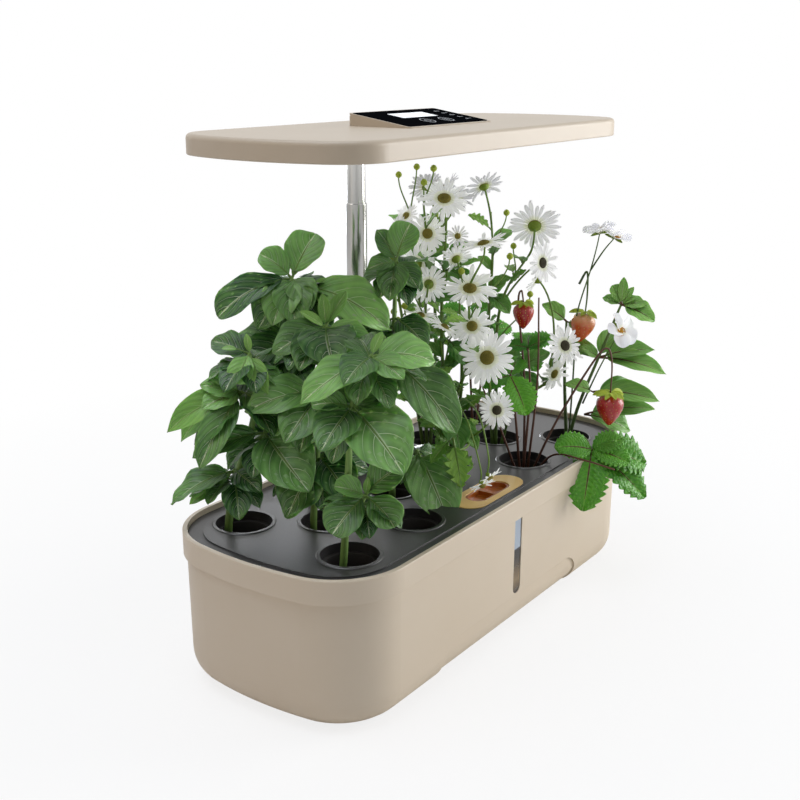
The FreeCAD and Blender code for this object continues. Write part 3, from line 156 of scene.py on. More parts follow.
class Surface:
    """A material in the making: its shader, and short ways to add the usual nodes."""

    def __init__(self, finish: "Finish") -> None:
        """Starts with the finish's name, colour, roughness and refractive index.

        Args:
            finish: the finish that is built.
        """
        self.material = bpy.data.materials.new(finish.name)
        self.material.use_nodes = True
        self.tree = self.material.node_tree
        self.tree.nodes.clear()
        self.shader = add_node(self.tree, "ShaderNodeBsdfPrincipled", {
            "Base Color": linear(finish.colour), "Roughness": finish.roughness, "IOR": finish.ior})
        self.output = add_node(self.tree, "ShaderNodeOutputMaterial", {
            "Surface": self.shader.outputs["BSDF"]})
        self.place = add_node(self.tree, "ShaderNodeTexCoord").outputs["Object"]

    def math(self, operation: str, *values: Level, clamp: bool = False) -> Socket:
        """Adds a calculation with one to three values and gives its result."""
        return add_node(self.tree, "ShaderNodeMath", dict(enumerate(values)), operation=operation,
                        use_clamp=clamp).outputs[0]

    def remap(self, value: Socket, low: float, high: float, to_low: float = 0.0,
              to_high: float = 1.0) -> Socket:
        """Turns the range from low to high into the range from to_low to to_high."""
        return add_node(self.tree, "ShaderNodeMapRange", {
            "Value": value, "From Min": low, "From Max": high, "To Min": to_low, "To Max": to_high,
        }).outputs["Result"]

    def spread(self, value: Socket, low: float, high: float) -> Socket:
        """Turns the range from 0 to 1 into the range from low to high."""
        return self.remap(value, 0.0, 1.0, low, high)

    def noise(self, size_mm: float, detail: float = 2.0, squeeze: float = 1.0,
              roughness: float = 0.5) -> Socket:
        """Adds clouds.

        Args:
            size_mm: their size.
            detail: how many finer layers they have.
            squeeze: scale of their height, which is below 1 for streaks along Z.
            roughness: how much the finer layers show.

        Returns:
            Their strength, from 0 to 1.
        """
        place = self.place
        if squeeze != 1.0:
            place = add_node(self.tree, "ShaderNodeMapping", {
                "Vector": place, "Scale": (1.0, 1.0, squeeze)}).outputs["Vector"]
        return add_node(self.tree, "ShaderNodeTexNoise", {
            "Vector": place, "Scale": per_mm(size_mm), "Detail": detail, "Roughness": roughness,
        }).outputs["Fac"]

    def cells(self, size_mm: float, feature: str = "F1") -> Socket:
        """Adds round cells and gives the distance in them."""
        return add_node(self.tree, "ShaderNodeTexVoronoi", {
            "Vector": self.place, "Scale": per_mm(size_mm)}, feature=feature).outputs["Distance"]

    def blend(self, share: Socket, first: Tint, second: Tint) -> Socket:
        """Mixes two colours, each a hex code or an output; a share of 1 gives the second."""
        first, second = (linear(tint) if isinstance(tint, str) else tint for tint in (first, second))
        return add_node(self.tree, "ShaderNodeMix", {0: share, 6: first, 7: second},
                        data_type="RGBA").outputs[2]

    def bump(self, height: Socket, strength: float, rise_mm: float,
             normal: Optional[Socket] = None) -> Socket:
        """Turns a height into a relief.

        Args:
            height: the height, from 0 to 1.
            strength: how much of it shows.
            rise_mm: what 1 rises.
            normal: the surface that it lies on.

        Returns:
            The bent normal.
        """
        inputs = {"Height": height, "Strength": strength, "Distance": rise_mm * MM}
        if normal is not None:
            inputs["Normal"] = normal
        return add_node(self.tree, "ShaderNodeBump", inputs).outputs["Normal"]

    def split(self, vector: Socket) -> bpy.types.NodeOutputs:
        """Splits a vector into X, Y and Z."""
        return add_node(self.tree, "ShaderNodeSeparateXYZ", {"Vector": vector}).outputs

    def layout(self) -> bpy.types.NodeOutputs:
        """Gives the UV map's two directions as X and Y."""
        return self.split(add_node(self.tree, "ShaderNodeUVMap", uv_map="UVMap").outputs["UV"])

    def tone(self) -> Socket:
        """Gives the tone that the mesh holds."""
        return add_node(self.tree, "ShaderNodeAttribute", attribute_name="tone").outputs["Fac"]

    def done(self, **inputs: object) -> bpy.types.Material:
        """Fills the shader's inputs, named with _ for a space, and gives the material."""
        named = {name.replace("_", " "): value for name, value in inputs.items()}
        fill_inputs(self.tree, self.shader, named)
        return self.material


def per_mm(size: float) -> float:
    """Gives the texture scale whose pattern repeats every size millimetres."""
    return 1.0 / (size * MM)


@dataclass(frozen=True)
class Finish:
    """What every finish has: a name, a colour, a roughness and a refractive index."""

    name: str
    colour: str
    roughness: float = 0.5
    ior: float = 1.5

    def build(self) -> bpy.types.Material:
        """Makes the material, plain here."""
        return Surface(self).done()


@dataclass(frozen=True)
class MouldedPlastic(Finish):
    """Injection moulded plastic: slow tint changes, spark-eroded grain, softly rounded edges."""

    shade: str = "000000"
    mottle_mm: float = 60.0
    grain_mm: float = 0.9
    grain_rise_mm: float = 0.02
    grain_show: float = 0.35
    gloss_change: float = 0.06
    edge_mm: float = 0.35
    coat: float = 0.0
    coat_roughness: float = 0.15

    def build(self) -> bpy.types.Material:
        """Makes the material.

        Returns:
            The finished material.
        """
        made = Surface(self)
        grain = made.noise(self.grain_mm, roughness=0.6)
        edge = add_node(made.tree, "ShaderNodeBevel", {"Radius": self.edge_mm * MM}, samples=4)
        return made.done(
            Base_Color=made.blend(made.noise(self.mottle_mm, 3.0), self.colour, self.shade),
            Roughness=made.spread(grain, self.roughness - self.gloss_change,
                                  self.roughness + self.gloss_change),
            Normal=made.bump(grain, self.grain_show, self.grain_rise_mm, edge.outputs["Normal"]),
            Coat_Weight=self.coat, Coat_Roughness=self.coat_roughness)


@dataclass(frozen=True)
class WaterWindow(Finish):
    """Clear polycarbonate: pale where air is behind it, brown in front of the water."""

    deep: str = "2A211A"
    low: str = "8A7350"
    line: str = "15120F"
    water_foot_mm: float = 31.0
    water_top_mm: float = 67.0
    reach: float = 1.35
    ripple_mm: float = 9.0
    clear: float = 0.15

    def build(self) -> bpy.types.Material:
        """Makes the material.

        Returns:
            The finished material.
        """
        made = Surface(self)
        end_mm = self.water_top_mm * self.reach
        top = (self.water_top_mm - self.water_foot_mm) / (end_mm - self.water_foot_mm)
        column = made.remap(made.split(made.place)["Z"], self.water_foot_mm * MM, end_mm * MM)
        ramp = add_node(made.tree, "ShaderNodeValToRGB", {"Fac": column})
        # A ramp starts with two stops of its own, which take the first and the last colour
        ramp.color_ramp.elements[0].color = linear(self.deep)
        ramp.color_ramp.elements[1].color = linear(self.colour)
        for place, colour in ((top * 0.3, self.low), (top * 0.75, self.deep), (top - 0.02, self.line),
                              (top, self.colour)):
            ramp.color_ramp.elements.new(place).color = linear(colour)
        return made.done(Base_Color=ramp.outputs["Color"], Transmission_Weight=self.clear,
                         Normal=made.bump(made.noise(self.ripple_mm), 0.1, 0.05))


@dataclass(frozen=True)
class DrawnSteel(Finish):
    """Stainless steel, drawn and polished: bright, with lines coarser than real so that they show."""

    line_mm: float = 0.5
    stretch: float = 0.02

    def build(self) -> bpy.types.Material:
        """Makes the material.

        Returns:
            The finished material.
        """
        made = Surface(self)
        lines = made.noise(self.line_mm, squeeze=self.stretch)
        return made.done(Roughness=made.spread(lines, self.roughness * 0.7, self.roughness * 1.4),
                         Normal=made.bump(lines, 0.12, 0.01), Metallic=1.0)


@dataclass(frozen=True)
class Smooth(Finish):
    """Glass, silicone, enamel or solder resist: smooth, with a slow second tint and varied gloss."""

    second: str = "000000"
    speckle_mm: float = 12.0
    share: float = 0.15
    transmission: float = 0.0
    specular: float = 0.5
    glow: float = 0.0

    def build(self) -> bpy.types.Material:
        """Makes the material.

        Returns:
            The finished material.
        """
        made = Surface(self)
        speckle = made.noise(self.speckle_mm, 4.0)
        return made.done(
            Base_Color=made.blend(made.math("MULTIPLY", speckle, self.share), self.colour, self.second),
            Roughness=made.spread(speckle, self.roughness * 0.8, self.roughness * 1.3),
            Transmission_Weight=self.transmission, Emission_Strength=self.glow,
            Emission_Color=linear(self.colour), Specular_IOR_Level=self.specular)


@dataclass(frozen=True)
class OpenFoam(Finish):
    """Open-cell foam or crushed grit: dark, matt, full of small holes, with lighter crumbs."""

    crumb: str = "6A5138"
    cell_mm: float = 1.6
    cell_depth_mm: float = 0.8

    def build(self) -> bpy.types.Material:
        """Makes the material.

        Returns:
            The finished material.
        """
        made = Surface(self)
        crumbs = made.remap(made.noise(self.cell_mm * 0.7, 3.0), 0.52, 0.72)
        return made.done(Base_Color=made.blend(crumbs, self.colour, self.crumb),
                         Normal=made.bump(made.cells(self.cell_mm), 0.9, self.cell_depth_mm))


@dataclass(frozen=True)
class LeafSkin(Finish):
    """Waxy leaf skin: pale midrib, side veins that arch to the tip, blistered fields between them, drawn
    paler towards their crests as a painted sheen.

    U of the UV map runs from the leaf's foot to its tip and V across it.
    """

    pale: str = "86A866"
    vein: str = "C9D9A4"
    veins: int = 5
    rise: float = 0.5
    vein_show: float = 0.7
    vein_half_width: float = 0.035
    # How much paler the crests between the veins are drawn: a painted sheen
    crest_sheen: float = 0.45
    cloud_mm: float = 14.0
    cloud_show: float = 0.5
    cell_mm: float = 1.5
    blister_mm: float = 0.9
    coat: float = 0.15
    specular: float = 0.35
    through: float = 0.25

    def build(self) -> bpy.types.Material:
        """Makes the material, with a tone for each leaf.

        Returns:
            The finished material.
        """
        made = Surface(self)
        layout = made.layout()
        across = made.math("ABSOLUTE", made.math("MULTIPLY_ADD", layout["Y"], 2.0, -1.0))
        along = made.math("MULTIPLY_ADD", made.math("POWER", across, VEIN_CURVE), -self.rise, layout["X"])
        field_shape = made.math("PINGPONG", made.math("MULTIPLY", along, float(self.veins)), 0.5)
        side_veins = made.math("MULTIPLY", made.remap(field_shape, self.vein_half_width, 0.0),
                               made.remap(across, 0.95, 0.2))
        veins = made.math("MAXIMUM", side_veins, made.remap(across, 0.075, 0.02))
        clouds = made.math("MULTIPLY_ADD", made.noise(self.cloud_mm, 3.0), self.cloud_show,
                           -self.cloud_show / 2)
        # Painted sheen: paler in the middle of each field, darker beside the veins
        crest_sheen = made.math("MULTIPLY_ADD", field_shape, self.crest_sheen, -0.2 * self.crest_sheen)
        # The leaf's tone, which paints light and shade, plus the painted sheen and random clouds
        paleness = made.math("ADD", made.tone(), made.math("ADD", crest_sheen, clouds), clamp=True)
        body = made.blend(paleness, self.colour, self.pale)
        fine = made.math("MULTIPLY", made.cells(self.cell_mm, "DISTANCE_TO_EDGE"), 0.25)
        return made.done(
            Base_Color=made.blend(made.math("MULTIPLY", veins, self.vein_show), body, self.vein),
            Normal=made.bump(made.math("ADD", field_shape, fine), 0.55, self.blister_mm),
            Coat_Weight=self.coat, Coat_Roughness=0.35, Specular_IOR_Level=self.specular,
            Subsurface_Weight=self.through, Subsurface_Radius=(0.5, 1.0, 0.2), Subsurface_Scale=1.0 * MM)


@dataclass(frozen=True)
class StalkSkin(Finish):
    """Stalk or stem: ribbed along its length, with the foot's colour at its lower end."""

    foot: str = "4A5A2A"
    rib_mm: float = 0.5
    stretch: float = 0.08

    def build(self) -> bpy.types.Material:
        """Makes the material.

        Returns:
            The finished material.
        """
        made = Surface(self)
        ribs = made.noise(self.rib_mm, squeeze=self.stretch)
        share = made.math("ADD", made.tone(), made.math("MULTIPLY_ADD", ribs, 0.3, -0.15), clamp=True)
        return made.done(Base_Color=made.blend(share, self.foot, self.colour),
                         Normal=made.bump(ribs, 0.4, 0.15))


@dataclass(frozen=True)
class PetalSkin(Finish):
    """Matt petal with fine grooves along it and a warmer foot; its tone mixes in a grey-lilac painted shade.
    """

    foot: str = "C8CC9A"
    # Grey-lilac of the painted shade that a petal's tone mixes in
    shade: str = "9A98A4"
    grooves: int = 7
    groove_mm: float = 0.25
    through: float = 0.5
    glow: float = 0.22

    def build(self) -> bpy.types.Material:
        """Makes the material; its glow stands for light that scatters between crowded petals.

        Returns:
            The finished material.
        """
        made = Surface(self)
        layout = made.layout()
        groove = made.math("PINGPONG", made.math("MULTIPLY", layout["Y"], float(self.grooves)), 0.5)
        # The tone paints shade: it mixes the grey-lilac into the white
        body = made.blend(made.tone(), self.colour, self.shade)
        whole = made.blend(made.remap(layout["X"], 0.35, 0.0), body, self.foot)
        return made.done(
            Base_Color=whole, Normal=made.bump(groove, 0.5, self.groove_mm),
            Subsurface_Weight=self.through, Subsurface_Radius=(1.0, 1.0, 0.9), Subsurface_Scale=1.2 * MM,
            Emission_Color=whole, Emission_Strength=self.glow)


@dataclass(frozen=True)
class FruitSkin(Finish):
    """Strawberry skin under a wet gloss, paler at its shoulder."""

    shoulder: str = "D9A05A"
    shoulder_end: float = 0.3
    cloud_mm: float = 6.0

    def build(self) -> bpy.types.Material:
        """Makes the material.

        Returns:
            The finished material.
        """
        made = Surface(self)
        wander = made.math("MULTIPLY_ADD", made.noise(self.cloud_mm), 0.3, made.layout()["X"])
        share = made.remap(wander, self.shoulder_end + 0.2, 0.1)
        return made.done(Base_Color=made.blend(share, self.colour, self.shoulder),
                         Coat_Weight=0.4, Coat_Roughness=0.12)


# Beige ABS, injection moulded with a fine spark-eroded skin: warm, satin, almost matt
BEIGE_ABS = MouldedPlastic("beige_abs_moulded", "D0C2AE", 0.46, 1.53, shade="C9B9A2", coat=0.03)
# The lamp's cover is the same ABS, its colour darkened as painted shade, and a little glossier than the tank
SHADED_LAMP_ABS = MouldedPlastic("beige_abs_lamp_cover_painted_shade", "BFB09C", 0.46, 1.53, shade="B7A892", coat=0.05)
# Charcoal ABS deck, moulded: dark with soft, slightly blue reflections
CHARCOAL_ABS = MouldedPlastic("charcoal_abs_deck", "2B2A2B", 0.36, 1.53, shade="242222", coat=0.15)
# Black-brown polypropylene baskets, moulded: matt, almost without light inside the wells
BASKET_PP = MouldedPlastic("black_pp_baskets", "1B1512", 0.55, 1.49, shade="14100D", grain_mm=1.2)
# Yellow ABS bezel, moulded glossier than the tank
YELLOW_ABS = MouldedPlastic("yellow_abs_bezel", "EBC377", 0.34, 1.53, shade="E4B867", coat=0.2)
# Orange tinted cap, moulded: deep amber in its recess
AMBER_CAP = MouldedPlastic("amber_abs_cap", "B8651F", 0.3, 1.53, shade="A2540F", coat=0.35)
# Black ABS of the pump, bush and inlet, moulded and matt
BLACK_ABS = MouldedPlastic("black_abs_fittings", "18181A", 0.5, 1.53, shade="131315")
# White acetal of the impeller and spacers, moulded: clean and waxy
WHITE_ACETAL = MouldedPlastic("white_acetal", "E4E3DE", 0.38, 1.48, shade="DAD9D2")
# Black nitrile rubber of pads, seal and cups, pressed: matt with a dusty bloom
NITRILE = MouldedPlastic("black_nitrile_rubber", "1C1C1D", 0.8, 1.52, shade="262526", grain_mm=1.5)
# Clear polycarbonate window strip, moulded: glossy, showing the water behind it
WINDOW_PC = WaterWindow("clear_pc_water_window", "A9B6C6", 0.12, 1.585)
# Stainless steel tube, drawn and polished: mirror-like with faint lines along it
POLISHED_TUBE = DrawnSteel("stainless_tube_polished", "C9C8C4", 0.16)
# Stainless screws and shaft, turned: a little duller
TURNED_STEEL = DrawnSteel("stainless_turned", "B9B8B4", 0.26, line_mm=0.3)
# Toughened glass over the controls, black-printed from behind: deep black with faint smears
CONTROL_GLASS = Smooth("black_printed_glass", "0B0C0E", 0.12, 1.52, second="16181B", speckle_mm=25.0,
                       specular=0.0)
# White backlit display behind glass: even and bright
DISPLAY_FACE = Smooth("white_lit_display", "F4F7F8", 0.3, 1.52, second="DDE4E8", share=0.3, glow=0.25)
# White ink printed on the glass: flat and matt
PRINTED_INK = Smooth("white_printed_ink", "C9CDD0", 0.5, 1.5, second="AEB3B7", speckle_mm=3.0, share=0.3)
# Frosted polycarbonate diffuser, moulded: white and cloudy
DIFFUSER_PC = Smooth("frosted_pc_diffuser", "E6E8EA", 0.45, 1.585, second="D5D8DB", transmission=0.25)
# Aluminium light board with white solder resist: satin white
LIGHT_BOARD = Smooth("white_solder_resist", "E9E9E4", 0.4, 1.5, second="D6D6CF", speckle_mm=2.0)
# Phosphor-coated light chips: yellow and slightly waxy
PHOSPHOR = Smooth("yellow_phosphor_chips", "E9C94D", 0.35, 1.5, second="D9A92C", speckle_mm=1.5, share=0.5)
# Fibreglass control board with green solder resist
GREEN_BOARD = Smooth("green_solder_resist", "1E5C38", 0.38, 1.5, second="0E3A22", speckle_mm=2.5, share=0.8)
# Silicone hose, extruded: milky
SILICONE = Smooth("milky_silicone_hose", "D8D8D2", 0.5, 1.41, second="C4C4BC", transmission=0.1)
# Rooting sponge, foamed and cut: black-brown with lighter crumbs
ROOT_FOAM = OpenFoam("rooting_foam", "1A120D", 0.95, 1.45, crumb="4A3524")
# Loose growing grit, crushed: black grains with brown dust
GRIT = OpenFoam("growing_grit", "17100C", 0.9, 1.45, crumb="5A4530", cell_mm=0.8)

# Basil's upper skin: deep green, blistered and waxy, veins cream-green
BASIL_UPPER = LeafSkin("basil_leaf_upper", "14441A", 0.34, 1.42, pale="98CC70", vein="E4F1C8", vein_show=0.9)
# Basil's underside: paler, matt, veins raised
BASIL_UNDER = LeafSkin("basil_leaf_under", "5E8A4E", 0.6, 1.42, pale="9DB884", vein="CBDBAE", coat=0.0)
# Pointed young leaves: yellow-green with a light midrib
YOUNG_UPPER = LeafSkin("young_leaf_upper", "3C7A28", 0.45, 1.42, pale="93C060", vein="D2E6A8", vein_show=0.5)
# Strawberry leaflets: fresh green above and greyer below, with close straight veins
BERRY_UPPER = LeafSkin("strawberry_leaf_upper", "1F6A10", 0.45, 1.42, pale="74BE34", vein="A9D45E",
                       veins=11, rise=0.34, vein_show=0.4)
BERRY_UNDER = LeafSkin("strawberry_leaf_under", "6E9A4E", 0.65, 1.42, pale="A5C880", vein="CFE2A8",
                       veins=11, rise=0.34, coat=0.0)
# Daisy foliage: light green and soft
FEATHER_UPPER = LeafSkin("daisy_leaf_upper", "3F7A24", 0.5, 1.42, pale="9CC654", vein="C2D694",
                         veins=5, rise=0.4, vein_show=0.5)
# Stems: basil pale and ribbed, daisy thin and green, strawberry red-brown
BASIL_STALK = StalkSkin("basil_stem", "7FA052", 0.5, 1.42, foot="5B7A38")
DAISY_STALK = StalkSkin("daisy_stem", "6F8F35", 0.5, 1.42, foot="3E5424")
BERRY_STALK = StalkSkin("strawberry_stalk", "6E4A34", 0.45, 1.42, foot="43241A", rib_mm=0.8)
GREEN_STALK = StalkSkin("green_woody_stem", "5F7B3A", 0.5, 1.42, foot="34491F")
# Petals: white daisy rays with grey-lilac painted shade where they are shaded, and the bluer white of the
# strawberry
DAISY_PETAL = PetalSkin("daisy_petal", "F8F8F4", 0.6, 1.42)
BERRY_PETAL = PetalSkin("strawberry_petal", "EFEFF2", 0.55, 1.42, foot="DDE0C0")
# Daisy disc florets: olive, packed and matt; the shaded ones darker
OLIVE_DISC = Smooth("olive_disc_florets", "9A8C3A", 0.75, 1.42, second="5E5A24", speckle_mm=1.0, share=0.9)
DARK_DISC = Smooth("dark_disc_florets", "4C4630", 0.75, 1.42, second="2C2A1E", speckle_mm=1.0, share=0.9)
# Strawberry's stamens: warm yellow and powdery
STAMEN = Smooth("yellow_stamens", "E0A42A", 0.6, 1.42, second="B87812", speckle_mm=0.8, share=0.8)
# Green star below each flower, yellow-green bud, and the paler star on each fruit
CALYX = Smooth("calyx_green", "8BA030", 0.6, 1.42, second="55701E", speckle_mm=2.0, share=0.9)
BUD_SKIN = Smooth("bud_green_yellow", "B5C43C", 0.55, 1.42, second="7E9228", speckle_mm=2.0, share=0.8)
SEPAL = Smooth("sepal_yellow_green", "C4CF3C", 0.5, 1.42, second="7FA028", speckle_mm=3.0, share=0.9)
# Fruit: ripe red and half-ripe orange, with dry yellow seeds
RED_FRUIT = FruitSkin("strawberry_ripe", "A81C16", 0.28, 1.42, shoulder="D4552E", shoulder_end=0.12)
ORANGE_FRUIT = FruitSkin("strawberry_turning", "D9602A", 0.3, 1.42, shoulder="EBC08A", shoulder_end=0.45)
SEED_COAT = Smooth("strawberry_seed", "D9B24A", 0.5, 1.45, second="A8741E", speckle_mm=1.0, share=0.6)


class Paintbox:
    """Builds each finish once and hands out its material."""

    def __init__(self) -> None:
        """Starts with no material built."""
        self.made: dict[str, bpy.types.Material] = {}

    def material(self, finish: Finish) -> bpy.types.Material:
        """Gives the material of a finish.

        Args:
            finish: the finish to look up or build.

        Returns:
            Its material.
        """
        if finish.name not in self.made:
            self.made[finish.name] = finish.build()
        return self.made[finish.name]

    def dress(self, finish: Finish, *nodes: str) -> None:
        """Puts a finish on frame nodes.

        Args:
            finish: the finish that they get.
            nodes: names of the frame's nodes.
        """
        for name in nodes:
            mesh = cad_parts[name].data
            mesh.materials.clear()
            mesh.materials.append(self.material(finish))


PAINT = Paintbox()


def unit(vector: np.ndarray) -> np.ndarray:
    """Gives a vector's direction."""
    return vector / max(float(np.linalg.norm(vector)), 1e-9)


def view_axes() -> tuple[np.ndarray, np.ndarray, np.ndarray]:
    """Gives the photograph's directions.

    Returns:
        Unit vectors to the right, up and towards the viewer.
    """
    heading = math.radians(VIEW_HEADING)
    pitch = math.radians(VIEW_PITCH)
    right = np.array((math.sin(heading), -math.cos(heading), 0.0))
    near = np.array((-math.cos(pitch) * math.cos(heading), -math.cos(pitch) * math.sin(heading),
                     math.sin(pitch)))
    return right, np.cross(near, right), near


RIGHT, UP, NEAR = view_axes()
NEAR_LEVEL = unit(np.array((NEAR[0], NEAR[1], 0.0)))


def seen(right: float, up: float, near: float = 0.0) -> np.ndarray:
    """Turns an offset as the photograph shows it into the frame's axes.

    Args:
        right: millimetres to the right.
        up: millimetres up the picture.
        near: millimetres towards the viewer.

    Returns:
        The offset in millimetres.
    """
    return right * RIGHT + up * UP + near * NEAR


def facing(azimuth: float, rise: float) -> np.ndarray:
    """Gives the direction of an azimuth and an elevation in degrees."""
    a, e = math.radians(azimuth), math.radians(rise)
    return np.array((math.cos(e) * math.cos(a), math.cos(e) * math.sin(a), math.sin(e)))


def curve_through(start: Sequence[float], control: Sequence[float], end: Sequence[float],
                  count: int) -> np.ndarray:
    """Gives points of a quadratic curve.

    Args:
        start: its first point.
        control: the point that it bends towards.
        end: its last point.
        count: how many points it gets.

    Returns:
        The points, one per row.
    """
    t = np.linspace(0.0, 1.0, count)[:, None]
    a, b, c = (np.asarray(p, float) for p in (start, control, end))
    return (1 - t) ** 2 * a + 2 * t * (1 - t) * b + t ** 2 * c


def smooth_path(points: Sequence[Sequence[float]], steps: int = 6) -> np.ndarray:
    """Runs a smooth curve through points.

    Args:
        points: at least two points.
        steps: how many pieces each stretch gets.

    Returns:
        The curve's points, one per row.
    """
    knots = np.asarray(points, float)
    padded = np.vstack((2 * knots[0] - knots[1], knots, 2 * knots[-1] - knots[-2]))
    made = []
    for index in range(len(knots) - 1):
        p0, p1, p2, p3 = padded[index:index + 4]
        for t in np.linspace(0.0, 1.0, steps, endpoint=False):
            made.append(0.5 * (2 * p1 + (p2 - p0) * t + (2 * p0 - 5 * p1 + 4 * p2 - p3) * t ** 2
                               + (3 * p1 - p0 - 3 * p2 + p3) * t ** 3))
    made.append(knots[-1])
    return np.array(made)


def grid_faces(rows: int, columns: int, ring: bool, flip: bool = False) -> np.ndarray:
    """Gives the quads of a grid of points.

    Args:
        rows: rows of points.
        columns: points in each row.
        ring: whether each row closes on itself.
        flip: whether the quads turn the other way.

    Returns:
        Four point indexes per quad.
    """
    wide = columns if ring else columns - 1
    i, j = np.meshgrid(np.arange(rows - 1), np.arange(wide), indexing="ij")
    k = (j + 1) % columns
    quads = np.stack((i * columns + j, i * columns + k, (i + 1) * columns + k, (i + 1) * columns + j), -1)
    quads = quads.reshape(-1, 4)
    return quads[:, ::-1] if flip else quads


def capped_faces(rings: int, sides: int) -> list[list[int]]:
    """Gives the faces of a closed tube: quads between its rings and a cap at each end."""
    faces = grid_faces(rings, sides, True).tolist()
    return faces + [list(range(sides))[::-1], list(range((rings - 1) * sides, rings * sides))]


def circle_angles(sides: int) -> np.ndarray:
    """Gives evenly spread angles of a full turn."""
    return np.arange(sides) * 2 * math.pi / sides


def sideways(axis: np.ndarray, askew: Triple = ASKEW) -> tuple[np.ndarray, np.ndarray]:
    """Gives two directions across an axis and across each other."""
    side = unit(np.cross(axis, askew))
    return side, np.cross(axis, side)


def spoke(angle: float, side: np.ndarray, other: np.ndarray) -> np.ndarray:
    """Gives the direction at an angle between two directions."""
    return math.cos(angle) * side + math.sin(angle) * other


def pod_middle(pod: str) -> np.ndarray:
    """Gives the middle of a pod in millimetres, at height 0."""
    low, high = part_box("basket_" + pod)
    return np.array(((low.x + high.x) / 2 / MM, (low.y + high.y) / 2 / MM, 0.0))


